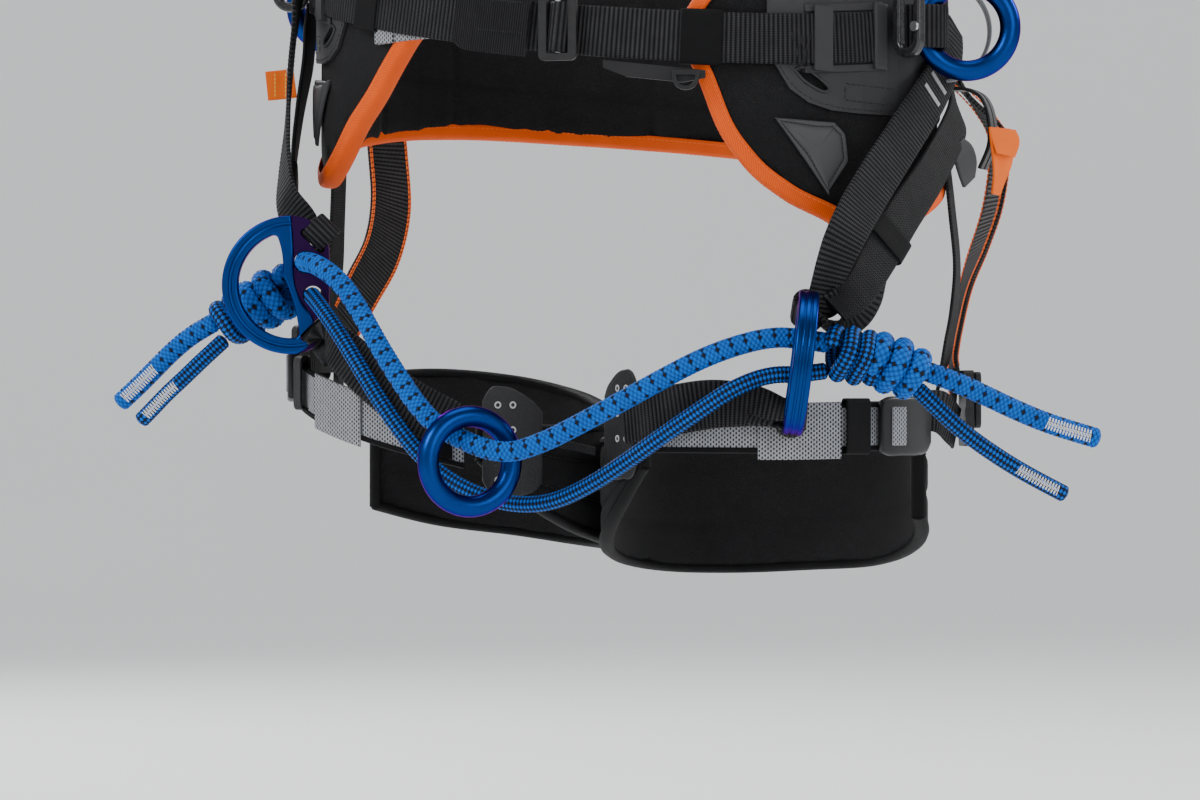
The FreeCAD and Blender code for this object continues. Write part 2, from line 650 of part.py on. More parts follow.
REAR_STRAP = [(190, 76, -26), (203, 98, -44), (209, 106, -62), (205, 106, -98), (198, 94, -130),
              (195, 72, -158), (198, 46, -182), (202, 25, -203)]
REAR_FACINGS = [(0.9, 0.6, 0.3), (0.8, 0.6, 0.3), (0.8, 0.6, 0), (0.8, 0.6, -0.2), (0.8, 0.6, -0.3),
                (0.9, 0.5, -0.3), (0.9, 0.4, -0.2), (0.9, 0.3, -0.1)]
SIDE_RISER = [(204, 20, -106), (205, 22, -140), (204, 16, -172), (203, 2, -190)]
SIDE_STRAP = [(208.5, -29, -228), (210.5, -21, -231), (211.5, -12, -235), (211, -1, -238)]


def on_side(sign, points):
    """A route for the wearer's left side, or its higher mirror image on the right side."""
    if sign > 0:
        return [Vector(*point) for point in points]
    return [Vector(-x, y, 1.07 * z + 45) for x, y, z in points]


def make_rear_straps():
    """The rear leg straps, the side risers, and the side straps to the adjusters."""
    risers, links = [], []
    thin = size("light_strap_thickness")
    for side, sign in (("left", 1), ("right", -1)):
        facings = [Vector(sign * x, y, z).normalize() for x, y, z in REAR_FACINGS]
        solid_piece("rear_strap_" + side, ribbon(on_side(sign, REAR_STRAP), facings, BELT_WIDTH,
                                                 size("rear_strap_thickness")))
        outward = Vector(sign, 0.1, 0).normalize()
        risers.append(ribbon(on_side(sign, SIDE_RISER), [outward] * 4, size("riser_width"), thin))
        outward = Vector(sign * 0.9, -0.4, 0).normalize()
        links.append(ribbon(on_side(sign, SIDE_STRAP), [outward] * 4, size("side_strap_width"), thin))
    solid_piece("side_risers", *risers)
    solid_piece("leg_side_straps", *links)


GEAR_CLIP = [(208, 42, -32), (215, 44, -36), (219, 46, -48), (219, 47, -64), (214, 47, -78)]
GEAR_FACINGS = [(0.2, 0, 1), (0.7, 0, 0.7), (1, 0, 0), (1, 0, 0), (1, 0, 0)]
CLIP_TAB = [(224, 51, -56), (226, 50, -74), (222, 49, -94)]
PULL_TAB = [(-209.5, -35, -22), (-217, -38, -23), (-226, -42, -24)]


def make_hip_extras():
    """The gear clip's two bars, its pull tab, and the other hip's pull tab."""
    facings = [Vector(*facing).normalize() for facing in GEAR_FACINGS]
    bands = []
    for shift in (0, size("clip_bar_spacing")):
        points = [Vector(x, y + shift, z) for x, y, z in GEAR_CLIP]
        bands.append(ribbon(points, facings, size("clip_bar_width"), size("light_strap_thickness")))
    solid_piece("gear_clip", *bands)
    tab = ribbon([Vector(*point) for point in CLIP_TAB],
                 [Vector(1, -0.3, 0).normalize()] * len(CLIP_TAB), [26, 24, 9], 1.6)
    pull = ribbon([Vector(*point) for point in PULL_TAB],
                  [Vector(0.4, -1, 0).normalize()] * len(PULL_TAB), 19, 2)
    solid_piece("pull_tabs", tab, pull)


# ---------------------------------------------------------------- bridge

D_HOLES = [(18, 14, "thick_rope"), (22.5, -6.5, "thin_rope")]
D_SLOTS = [(22.5, 27, -45), (22.5, -27, 45)]


def make_d_plate(label, place):
    """The D plate: a thick fluted rim and bar round a kidney opening, and a thinner web."""
    centre, radius = size("dplate_centre"), size("dplate_radius")
    inner, corner, edge = size("dplate_inner_radius"), size("dplate_corner"), size("dplate_edge")
    body = new_body(label, place)
    outline = sketch_on(body, "outline")
    shoulder = radius - corner
    diagonal = corner / math.sqrt(2)
    top, bottom = Vector(centre, radius, 0), Vector(centre, -radius, 0)
    outline.addGeometry(Part.Arc(top, Vector(centre - radius, 0, 0), bottom), False)
    outline.addGeometry(Part.Arc(bottom, Vector(centre + diagonal, -shoulder - diagonal, 0),
                                 Vector(edge, -shoulder, 0)), False)
    outline.addGeometry(Part.LineSegment(Vector(edge, -shoulder, 0), Vector(edge, shoulder, 0)), False)
    outline.addGeometry(Part.Arc(Vector(edge, shoulder, 0),
                                 Vector(centre + diagonal, shoulder + diagonal, 0), top), False)
    pad(body, outline, "Sizes.dplate_web_thickness")
    rim = sketch_on(body, "rim")
    high, low = Vector(centre, radius, 0), Vector(centre + 4, -math.sqrt(radius ** 2 - 16), 0)
    upper, lower = Vector(11.2, 8, 0), Vector(20.2, -16, 0)
    rim.addGeometry(Part.Arc(high, Vector(centre - radius, 0, 0), low), False)
    rim.addGeometry(Part.Arc(low, Vector(23.6, -28, 0), lower), False)
    rim.addGeometry(Part.Arc(lower, Vector(14.4, -7, 0), upper), False)
    rim.addGeometry(Part.Arc(upper, Vector(10.8, 26, 0), high), False)
    pad(body, rim, "Sizes.dplate_rim_thickness")
    kidney = sketch_on(body, "kidney")
    crown, toe, waist = Vector(0.5, 31.1, 0), Vector(14.5, -32, 0), Vector(4.2, 6, 0)
    kidney.addGeometry(Part.Arc(crown, Vector(centre - inner, 0, 0), toe), False)
    kidney.addGeometry(Part.Arc(toe, Vector(11.5, -13, 0), waist), False)
    kidney.addGeometry(Part.Arc(waist, Vector(4.0, 19, 0), crown), False)
    cut = pocket(body, kidney, "Sizes.dplate_rim_thickness * 2")
    face = size("dplate_rim_thickness") / 2

    def kidney_corner(edge):
        box = edge.BoundBox
        return (box.ZLength > 2 * face - 0.1 and box.XLength < 0.01 and box.XMax < 15
                and abs(box.YMax) < 33)

    def rim_edge(edge):
        return flat_edge(edge) and abs(abs(edge.BoundBox.ZMin) - face) < 0.01

    softened = round_edges(body, cut, 3, kidney_corner)
    round_edges(body, softened, 1.6, rim_edge)
    flutes = sketch_on(body, "flutes", "XZ_Plane")
    for x, z, deep in ((37.3, face + 0.4, 1.2), (37.3, -face - 0.4, 1.2), (42.7, 1.8, 1), (42.7, -1.8, 1)):
        flutes.addGeometry(Part.Circle(Vector(centre - x, z, 0), UP, deep), False)
    flutes.addGeometry(Part.LineSegment(Vector(centre, -20, 0), Vector(centre, 20, 0)), True)
    groove = body.newObject("PartDesign::Groove", label + "_fluting")
    groove.Profile = flutes
    groove.ReferenceAxis = (flutes, ["Axis0"])
    groove.Angle = 360
    holes = sketch_on(body, "rope_holes")
    for x, y, rope in D_HOLES:
        draw_circle(holes, rope, x, y, "(Sizes.%s + Sizes.rope_clearance) / 2" % rope)
    pocket(body, holes, "Sizes.dplate_rim_thickness * 2")
    slots = sketch_on(body, "slots")
    half, wide = size("slot_length") / 2, size("slot_width") / 2
    for x, y, slant in D_SLOTS:
        along = Vector(math.cos(math.radians(slant)), math.sin(math.radians(slant)), 0)
        side = Vector(-along.y, along.x, 0) * wide
        middle = Vector(x, y, 0)
        start, end = middle - along * half, middle + along * half
        slots.addGeometry(Part.LineSegment(start + side, end + side), False)
        slots.addGeometry(Part.Arc(end + side, end + along * wide, end - side), False)
        slots.addGeometry(Part.LineSegment(end - side, start - side), False)
        slots.addGeometry(Part.Arc(start - side, start - along * wide, start + side), False)
    pocket(body, slots, "Sizes.dplate_rim_thickness * 2")


LEFT_D_PLACE = facing_placement(Vector(161.1, -153.2, -199.5), AWAY, UP + ACROSS * 0.12)
RIGHT_D_PLACE = facing_placement(Vector(-186.9, -115.9, -150.8), ACROSS, UP)

# Both ropes run from the knot behind the right D plate, through it, across the front, through
# the left D plate and into the knot behind that one.
THICK_ROUTE = [(-187, -91, -149), (-173.9, -99.5, -136.8), (-165, -123.9, -136.8), (-148, -143, -139),
               (-128, -153, -150), (-113, -159, -168), (-99, -164.5, -188), (-85, -168, -207),
               (-72, -170, -224), (-57, -171, -238.5), (-17, -175.5, -254), (9, -172.5, -246),
               (32, -168, -234), (56, -163, -221), (79, -158.5, -208), (101, -154, -196.5),
               (122, -148, -188.5), (141.5, -141.2, -184), (157.5, -135.4, -185.7), (172, -130, -188)]
THIN_ROUTE = [(-184, -88, -160), (-169.6, -97.9, -157.3), (-160.7, -122.3, -157.3), (-149, -136, -164),
              (-135, -144, -178), (-122, -148, -195), (-109, -150.5, -214), (-95, -150, -234),
              (-81, -146, -253), (-65, -141.5, -268), (-45, -138, -278), (-22, -137, -283.5),
              (3, -141, -282), (28, -145.5, -271.5), (52, -149.5, -257.5), (75, -152.5, -242.5),
              (98, -152.5, -227.5), (119, -149, -213.5), (137.5, -140, -206), (153.5, -132, -206.2),
              (169, -126, -203.8)]
# The ring hangs on the run of the thick rope between these two points, turned by this much.
BRIDGE_RUN = THICK_ROUTE[9:11]
RING_TURN = math.radians(24.5)

TAILS = {
    "tail_right_thick": ([(-236, -94.5, -172), (-250, -96, -179), (-264, -98, -190), (-277, -100, -203),
                          (-289, -102.5, -215), (-299, -104.5, -224)], "thick_rope"),
    "tail_right_thin": ([(-231.5, -91.5, -183), (-243, -95.5, -194), (-255, -99, -206), (-268, -101.5, -218),
                         (-277, -104, -228), (-284, -105.5, -235)], "thin_rope"),
    "tail_left_thick": ([(218, -107.5, -202.5), (231, -100, -207.5), (249, -90, -216), (271, -81, -227.5),
                         (293, -72, -237), (316, -62.5, -244)], "thick_rope"),
    "tail_left_thin": ([(216, -105, -213.5), (227, -98.5, -225.5), (241, -91, -240), (259, -82.5, -254),
                        (278, -74, -266.5), (297, -66, -277)], "thin_rope"),
}

# The two knots at each end of the bridge: the middle of the first face, and the direction.
KNOTS = {
    "knots_right": ((Vector(-188.5, -89.5, -151), Vector(-0.84, -0.03, -0.42)),
                    (Vector(-213.8, -90.4, -163.7), Vector(-0.84, -0.03, -0.42))),
    "knots_left": ((Vector(171.3, -130.2, -192), Vector(0.89, 0.40, -0.2)),
                   (Vector(196.8, -118.7, -198), Vector(0.86, 0.43, -0.27))),
}


def barrel_knot(start, direction):
    """A barrel knot of two wraps, turned about its own axis."""
    neck, full, length = size("knot_neck"), size("knot_radius"), size("knot_length")
    quarter = length / 4
    corners = [Vector(0, 0, 0), Vector(neck, 0, 0), Vector(neck, 0, 2 * quarter), Vector(neck, 0, length),
               Vector(0, 0, length)]
    edges = [Part.LineSegment(corners[0], corners[1]).toShape(),
             Part.Arc(corners[1], Vector(full, 0, quarter), corners[2]).toShape(),
             Part.Arc(corners[2], Vector(full, 0, 3 * quarter), corners[3]).toShape(),
             Part.LineSegment(corners[3], corners[4]).toShape(),
             Part.LineSegment(corners[4], corners[0]).toShape()]
    knot = Part.Face(Part.Wire(edges)).revolve(Vector(0, 0, 0), UP, 360)
    knot.Placement = Placement(start, Rotation(UP, direction))
    return Part.makeSolid(knot) if knot.ShapeType == "Shell" else knot


def make_bridge():
    """The D plates, both ropes with their knots and tails, and the ring on the thick rope."""
    make_d_plate("bridge_dplate_left", LEFT_D_PLACE)
    make_d_plate("bridge_dplate_right", RIGHT_D_PLACE)
    solid_piece("bridge_rope_thick", rope_tube("bridge_rope_thick", THICK_ROUTE, size("thick_rope")))
    solid_piece("bridge_rope_thin", rope_tube("bridge_rope_thin", THIN_ROUTE, size("thin_rope")))
    for label, (route, rope) in TAILS.items():
        solid_piece(label, rope_tube(label, route, size(rope)))
    for label, knots in KNOTS.items():
        solid_piece(label, *[barrel_knot(*knot) for knot in knots])
    start, end = [Vector(*point) for point in BRIDGE_RUN]
    crossing = (start + end) * 0.5
    along = (end - start).normalize()
    plane_across = ACROSS * math.cos(RING_TURN) + AWAY * math.sin(RING_TURN)
    axis = plane_across.cross(UP)
    print("bridge hinge at %s along %s" % (crossing, along))
    torus_piece("bridge_ring", "Sizes.bridge_ring_radius", "Sizes.bridge_ring_section",
                crossing - UP * size("bridge_ring_drop"), axis)


# ---------------------------------------------------------------- leg loops

LEG_PAD = [(-30, -262, -240), (-45, -285, -242), (-65, -305, -244), (-90, -318, -245), (-120, -326, -240),
           (-150, -328, -232), (-180, -326, -226), (-210, -322, -224), (-235, -312, -226)]
LEG_PAD_END = {"left": [(-252, -302, -230), (-266, -292, -236)], "right": []}
LEG_FRONT = {
    "left": [(85, -251, -222), (60, -251, -222), (30, -252, -223), (0, -252, -223), (-24, -252, -223)],
    "right": [(85, -219, -190), (60, -225, -196), (30, -238, -209), (0, -252, -223), (-24, -262, -233)],
}
LEG_LIFT = {"left": 0, "right": 22}


def make_legs():
    """The leg loops: pads, front bands, perforated tabs, keepers and buckle covers."""
    tall = size("leg_pad_thickness") - size("leg_pad_inset")
    band_in = size("leg_band_lift")
    band_out = band_in + size("leg_band_thickness")
    cover_in = size("leg_cover_lift")
    tabs, keepers, covers = [], [], []
    for side, sign in (("left", 1), ("right", -1)):
        lifted = []
        for angle, low, high in LEG_PAD + LEG_PAD_END[side]:
            lift = LEG_LIFT[side] * min(1, -angle / 200)
            lifted.append((angle, low + lift, high + lift))
        solid_piece("leg_pad_" + side, leg_strip(sign, lifted, -size("leg_pad_inset"), tall))
        band = LEG_FRONT[side]
        solid_piece("leg_band_" + side, leg_strip(sign, band, band_in, band_out))
        low, high = band[-1][1], band[-1][2]
        tabs.append(leg_strip(sign, [(-31, low - 14, high + 18), (-38, low - 16, high + 20),
                                     (-46, low - 16, high + 14), (-52, low - 10, high + 6)],
                              tall + GAP, tall + GAP + size("leg_tab_thickness")))
        low, high = band[0][1], band[0][2]
        covers.append(leg_strip(sign, [(60, low - 2, high + 2), (70, low - 3, high + 3),
                                       (80, low - 3, high + 3), (90, low + 3, high - 3)],
                                cover_in, cover_in + size("leg_cover_thickness")))
        low, high = band[1][1], band[1][2]
        keepers.append(leg_strip(sign, [(46, low - 1.5, high + 0.5), (56, low - 0.5, high + 1.5)],
                                 cover_in, cover_in + size("leg_keeper_thickness")))
    solid_piece("perforated_tabs", *tabs)
    solid_piece("buckle_covers", *covers)
    solid_piece("leg_keepers", *keepers)


LEG_STRAPS = {
    "leg_strap_left": ([(144, -135.5, -225.5), (124, -137, -224), (100, -138, -223.5), (70, -135, -228),
                        (42, -124, -232)],
                       [(0.35, -0.9, 0.35), (0.1, -1, 0.05), (0, -1, 0), (-0.4, -1, 0), (-0.7, -1, 0)],
                       [17, 25, 29, 30, 30]),
    "leg_strap_right": ([(-162, -115.5, -178), (-140, -131.5, -188), (-118, -138, -204), (-92, -139, -222),
                         (-66, -133, -236)],
                        [(-0.35, -0.9, 0.35), (-0.1, -1, 0.05), (0, -1, 0), (0.2, -1, 0), (0.5, -1, 0)],
                        [17, 25, 29, 30, 30]),
}


def make_leg_straps():
    """The ribbed straps from the D plates to the perforated tabs, and the link between legs."""
    for label, (route, facings, widths) in LEG_STRAPS.items():
        points = [Vector(*point) for point in route]
        looks = [Vector(*facing).normalize() for facing in facings]
        solid_piece(label, ribbon(points, looks, widths, size("webbing_thickness")))
    link = [Vector(-16, -100, -246), Vector(0, -96, -249), Vector(14, -96, -252)]
    solid_piece("leg_link_strap", ribbon(link, [Vector(0, -1, 0)] * 3, 5, 2))


ADJUSTER_ANGLE, LEVER_LENGTH, LEVER_CLEARANCE = 112, 34, 1


def make_adjuster(side, sign, height):
    """The strap adjuster on the outside of the thigh: a frame and the lever that tilts in it."""
    facing = leg_facing(sign, ADJUSTER_ANGLE)
    across = UP.cross(facing).normalize()
    place = facing_placement(leg_point(sign, ADJUSTER_ANGLE, height, size("adjuster_reach")), across, UP)
    frame = new_body("adjuster_frame_" + side, place)
    outline = sketch_on(frame, "outline")
    draw_rectangle(outline, "outer", "Sizes.adjuster_width", "Sizes.adjuster_height")
    plate = pad(frame, outline, "Sizes.adjuster_thickness")
    round_edges(frame, plate, 5, corner_edge(size("adjuster_thickness")))
    slots = sketch_on(frame, "slots")
    for name, y in (("upper", 12), ("lower", -12)):
        draw_rectangle(slots, name, "Sizes.adjuster_slot_width", "Sizes.adjuster_slot_height", (0, y))
    pocket(frame, slots, "Sizes.adjuster_thickness * 3")
    proud = (size("adjuster_thickness") + size("lever_thickness")) / 2 + LEVER_CLEARANCE
    lever_place = place.multiply(Placement(Vector(0, 20, proud), Rotation()))
    lever = new_body("adjuster_lever_" + side, lever_place)
    outline = sketch_on(lever, "outline")
    draw_rectangle(outline, "grip", "Sizes.adjuster_width - 10", str(LEVER_LENGTH), (0, -15))
    plate = pad(lever, outline, "Sizes.lever_thickness")
    rounded = round_edges(lever, plate, 4, corner_edge(size("lever_thickness")))
    round_edges(lever, rounded, 1, flat_edge)
    print("lever %s hinge at %s along %s" % (side, lever_place.Base, across))


make_waist_pad()
make_belt_webbing()
make_keepers()
make_buckle()
make_front_accessories()
make_side_plate("side_plate_left", 1, 0)
make_side_plate("side_plate_right", -1, -9)
make_rubber_patch("rubber_patch_left", 48.5, -57, 1)
make_rubber_patch("rubber_patch_right", -66, -60, -1)
for ring_side in ("left", "right"):
    make_side_ring(ring_side)
make_ring_guards()
make_shackles()
make_hip_straps()
make_hip_keepers()
make_rear_straps()
make_hip_extras()
make_bridge()
make_legs()
make_leg_straps()
make_adjuster("left", 1, -226)
make_adjuster("right", -1, -196)

doc.recompute()
for item in doc.Objects:
    if "Invalid" in item.State or "Error" in item.State:
        raise RuntimeError("%s failed: %s" % (item.Label, item.State))
os.makedirs("parts", exist_ok=True)
for node in NODES:
    shape = node.Shape
    if shape.isNull() or not shape.isValid() or shape.Volume <= 0:
        raise RuntimeError("%s has no valid shape" % node.Label)
for node in NODES:
    node.Shape.exportStep("parts/%s.step" % node.Label)
print("%d nodes" % len(NODES))
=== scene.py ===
import math

import bpy
import numpy as np
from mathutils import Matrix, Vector


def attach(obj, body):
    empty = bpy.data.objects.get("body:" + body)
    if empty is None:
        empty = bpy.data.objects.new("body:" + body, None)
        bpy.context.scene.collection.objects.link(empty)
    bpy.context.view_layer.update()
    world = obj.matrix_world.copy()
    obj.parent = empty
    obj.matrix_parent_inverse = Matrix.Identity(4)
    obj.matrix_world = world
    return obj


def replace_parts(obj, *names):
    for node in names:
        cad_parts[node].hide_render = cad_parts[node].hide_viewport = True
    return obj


# A tree climbing saddle: padded waist belt, two leg loops, and a rope bridge between two D plates.
# The frame is the CAD model's, in metres: +Z up, +X to the wearer's left, -Y to the wearer's front.
# Routes, widths and heights in millimetres are multiplied by MM when their mesh is made.

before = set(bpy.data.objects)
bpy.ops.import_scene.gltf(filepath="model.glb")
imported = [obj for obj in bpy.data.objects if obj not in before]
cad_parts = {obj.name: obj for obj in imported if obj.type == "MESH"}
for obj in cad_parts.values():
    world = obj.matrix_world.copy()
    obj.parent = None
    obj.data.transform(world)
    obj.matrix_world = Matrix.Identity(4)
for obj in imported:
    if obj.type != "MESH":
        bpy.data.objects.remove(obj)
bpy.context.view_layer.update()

MM = 0.001
ROOT = "root"
VIEW_TURN = math.radians(20)
ACROSS = Vector((math.cos(VIEW_TURN), math.sin(VIEW_TURN), 0))
AWAY = Vector((-math.sin(VIEW_TURN), math.cos(VIEW_TURN), 0))
UP = Vector((0, 0, 1))

FLOOR_LEVEL, FLOOR_REACH, WALL_CURVE, FLOOR_SIDES = -0.56, 4.5, 2.5, 96
LIGHTS = (("key", (-1.5, -2.4, 1.7), 1.6, 56), ("fill", (2.3, -2.0, 0.7), 1.8, 22),
          ("rim_left", (-1.9, 1.7, 1.1), 1.1, 42), ("rim_right", (2.1, 1.6, 1.2), 1.1, 42),
          ("top", (0, 0.2, 2.4), 1.8, 30))


# ---------------------------------------------------------------- camera, lights and floor

def make_camera():
    """A long lens at the photograph's angle: level, and 20 degrees round to the wearer's left."""
    distance, across, height = 3.0, -0.0174, -0.221
    data = bpy.data.cameras.new("camera")
    data.sensor_width = 36
    data.lens = 145.16
    data.clip_end = 60
    camera = bpy.data.objects.new("camera", data)
    bpy.context.scene.collection.objects.link(camera)
    target = ACROSS * across + UP * height
    camera.location = target - AWAY * distance
    camera.rotation_euler = (AWAY * distance).to_track_quat("-Z", "Y").to_euler()
    bpy.context.scene.camera = camera


def make_studio():
    """A pale floor that curves up all round into a wall, and soft lights."""
    profile = [(0.0, 0.0), (FLOOR_REACH, 0.0)]
    profile += [(FLOOR_REACH + WALL_CURVE * math.sin(turn), WALL_CURVE - WALL_CURVE * math.cos(turn))
                for turn in np.linspace(0.1, math.pi / 2, 14)]
    profile.append((7.0, 6.0))
    verts = []
    for radius, height in profile:
        for step in range(FLOOR_SIDES):
            turn = 2 * math.pi * step / FLOOR_SIDES
            verts.append((radius * math.cos(turn), radius * math.sin(turn), height + FLOOR_LEVEL))
    faces = grid_faces(len(profile), FLOOR_SIDES)
    mesh = bpy.data.meshes.new("floor")
    mesh.from_pydata(verts, [], faces)
    mesh.polygons.foreach_set("use_smooth", [True] * len(faces))
    floor = bpy.data.objects.new("floor", mesh)
    bpy.context.scene.collection.objects.link(floor)
    floor.data.materials.append(MATERIALS["floor"])

    world = bpy.data.worlds.new("studio")
    world.use_nodes = True
    world.node_tree.nodes["Background"].inputs["Color"].default_value = (0.93, 0.95, 1.0, 1)
    world.node_tree.nodes["Background"].inputs["Strength"].default_value = 0.36
    bpy.context.scene.world = world
    for name, place, size, power in LIGHTS:
        data = bpy.data.lights.new(name, "AREA")
        data.shape = "DISK"
        data.size = size
        data.energy = power
        light = bpy.data.objects.new(name, data)
        bpy.context.scene.collection.objects.link(light)
        light.location = place
        light.rotation_euler = (Vector((0, 0, -0.15)) - light.location).to_track_quat("-Z", "Y").to_euler()


# ---------------------------------------------------------------- materials

class Shader:
    """A small builder of node materials round one Principled shader."""

    def __init__(self, name, colour, rough, metal=0.0, **constants):
        self.material = bpy.data.materials.new(name)
        self.material.use_nodes = True
        self.tree = self.material.node_tree
        self.shader = self.tree.nodes["Principled BSDF"]
        self.shader.inputs["Base Color"].default_value = (*colour, 1)
        self.shader.inputs["Roughness"].default_value = rough
        self.shader.inputs["Metallic"].default_value = metal
        for key, value in constants.items():
            self.shader.inputs[key.replace("_", " ")].default_value = value

    def node(self, kind, **settings):
        made = self.tree.nodes.new(kind)
        for key, value in settings.items():
            setattr(made, key, value)
        return made

    def link(self, source, target):
        if isinstance(source, (int, float)):
            target.default_value = source
        else:
            self.tree.links.new(source, target)

    def math(self, operation, first, second=0.0, third=0.0):
        made = self.node("ShaderNodeMath", operation=operation)
        for index, value in enumerate((first, second, third)):
            self.link(value, made.inputs[index])
        return made.outputs[0]

    def times(self, first, second, plus=None):
        """The product of two values, and a third added to it where one is given."""
        if plus is None:
            return self.math("MULTIPLY", first, second)
        return self.math("MULTIPLY_ADD", first, second, plus)

    def fitted(self, value, low, high, to_low=0.0, to_high=1.0):
        """The range from low to high carried over to another range."""
        made = self.node("ShaderNodeMapRange")
        self.link(value, made.inputs["Value"])
        for key, limit in (("From Min", low), ("From Max", high), ("To Min", to_low), ("To Max", to_high)):
            made.inputs[key].default_value = limit
        return made.outputs[0]

    def vector(self, operation, source, other, output):
        made = self.node("ShaderNodeVectorMath", operation=operation)
        self.link(source, made.inputs[0])
        made.inputs[1].default_value = other
        return made.outputs[output]

    def wave(self, value, period):
        """From 0 to 1 and back once in each period."""
        turned = self.times(value, 2 * math.pi / period)
        return self.times(self.math("COSINE", turned), 0.5, 0.5)

    def uv(self):
        """The mesh's own coordinates, in millimetres along and across."""
        made = self.node("ShaderNodeSeparateXYZ")
        self.link(self.node("ShaderNodeUVMap", uv_map="lay").outputs[0], made.inputs[0])
        return made.outputs[0], made.outputs[1]

    def place(self):
        return self.node("ShaderNodeTexCoord").outputs["Object"]

    def noise(self, scale, detail=3.0, rough=0.5):
        made = self.node("ShaderNodeTexNoise")
        self.link(self.place(), made.inputs["Vector"])
        made.inputs["Scale"].default_value = scale
        made.inputs["Detail"].default_value = detail
        made.inputs["Roughness"].default_value = rough
        return made.outputs["Fac"]

    def cells(self, scale, feature="F1"):
        made = self.node("ShaderNodeTexVoronoi", feature=feature)
        self.link(self.place(), made.inputs["Vector"])
        made.inputs["Scale"].default_value = scale
        return made.outputs["Distance"]

    def attribute(self, name):
        return self.node("ShaderNodeAttribute", attribute_name=name).outputs["Fac"]

    def blend(self, factor, first, second):
        """A colour between two colours, each three numbers or a socket."""
        made = self.node("ShaderNodeMix", data_type="RGBA")
        self.link(factor, made.inputs["Factor"])
        for value, target in ((first, made.inputs["A"]), (second, made.inputs["B"])):
            if isinstance(value, tuple):
                target.default_value = (*value, 1)
            else:
                self.link(value, target)
        return made.outputs["Result"]

    def colour(self, socket):
        self.link(socket, self.shader.inputs["Base Color"])

    def rough(self, socket, low, high):
        self.link(self.fitted(socket, 0.0, 1.0, low, high), self.shader.inputs["Roughness"])

    def bump(self, socket, depth, strength=1.0):
        made = self.node("ShaderNodeBump")
        made.inputs["Distance"].default_value = depth
        made.inputs["Strength"].default_value = strength
        self.link(socket, made.inputs["Height"])
        self.link(made.outputs[0], self.shader.inputs["Normal"])


RIB = 2.8
ANODISED_BLUE = (0.004, 0.052, 0.25)


def webbing_material(name, dark, light, rib=RIB, thread=1.0):
    """Ribbed webbing: each rib runs across, and shows a row of short thread floats."""
    made = Shader(name, dark, 0.62, Specular_IOR_Level=0.1)
    along, across = made.uv()
    crest = made.wave(along, rib)
    column = made.math("FLOOR", made.math("DIVIDE", along, rib / 2))
    shifted = made.times(column, thread / 2, across)
    slanted = made.times(along, 0.35, shifted)
    floats = made.wave(slanted, thread)
    wear_and_highlight_noise = made.noise(90, 4)
    height = made.times(made.math("POWER", crest, 0.7), made.times(floats, 0.6, 0.4))
    # The thread floats are coloured lighter on each rib's crest than in the troughs: a painted highlight, its
    # strength varied by random noise.
    painted_crest_highlight = made.times(made.times(crest, floats), made.times(wear_and_highlight_noise, 0.9, 0.45))
    made.colour(made.blend(painted_crest_highlight, dark, light))
    made.rough(floats, 0.75, 0.5)
    made.bump(height, 0.0005, 0.8)
    return made.material


def checker_material(name, dark, light, pitch):
    """A finer, flatter webbing with a small checked weave."""
    made = Shader(name, dark, 0.6, Specular_IOR_Level=0.1)
    along, across = made.uv()
    column = made.math("FLOOR", made.math("DIVIDE", along, pitch / 2))
    floats = made.wave(made.times(column, pitch * 0.45, across), pitch * 0.9)
    crest = made.wave(along, pitch / 2)
    # Each float on a rib's crest is coloured lighter: a painted highlight, its strength varied by random
    # noise.
    painted_crest_highlight = made.times(made.times(crest, floats), made.math("ADD", made.noise(120), 0.35))
    made.colour(made.blend(painted_crest_highlight, dark, light))
    made.bump(made.times(crest, floats), 0.0004, 0.8)
    return made.material


def twill_material(name, base, shade, period=1.5):
    """Woven tape with slanting lines."""
    made = Shader(name, base, 0.72, Specular_IOR_Level=0.2)
    along, across = made.uv()
    line = made.wave(made.math("ADD", along, across), period)
    cross = made.wave(made.math("SUBTRACT", along, across), period * 0.55)
    cloud = made.noise(38, 5)
    mixed = made.times(line, 0.55, made.times(cross, 0.15))
    mixed = made.math("ADD", mixed, made.times(cloud, 0.5, -0.1))
    made.colour(made.blend(mixed, shade, base))
    made.bump(mixed, 0.0004, 0.7)
    return made.material


def mesh_material(name, thread, hole, wide, tall, size):
    """Knitted mesh with rows of oval holes, each row shifted by half a hole."""
    made = Shader(name, thread, 0.75, Specular_IOR_Level=0.25)
    along, across = made.uv()
    column = made.math("FLOOR", made.math("DIVIDE", along, wide))
    shift = made.times(made.math("FLOORED_MODULO", column, 2.0), 0.5)
    x = made.math("SUBTRACT", made.math("FRACT", made.math("DIVIDE", along, wide)), 0.5)
    row = made.math("ADD", made.math("DIVIDE", across, tall), shift)
    y = made.math("SUBTRACT", made.math("FRACT", row), 0.5)
    reach = made.math("SQRT", made.math("ADD", made.times(x, x), made.times(y, y)))
    edge = made.fitted(reach, size, size + 0.16)
    cloud = made.noise(260, 4)
    lit = made.blend(cloud, tuple(0.6 * c for c in thread), thread)
    made.colour(made.blend(edge, hole, lit))
    made.bump(edge, 0.0006, 0.9)
    return made.material


def cloth_material(name, dark, light, scale):
    """Close knitted cloth: small loops, and soft clouding."""
    made = Shader(name, dark, 0.9, Specular_IOR_Level=0.12, Sheen_Weight=0.03)
    loops = made.cells(scale)
    cloud = made.noise(24, 6, 0.6)
    made.colour(made.blend(made.times(loops, made.math("ADD", cloud, 0.3)), dark, light))
    made.bump(loops, 0.0004, 0.8)
    return made.material


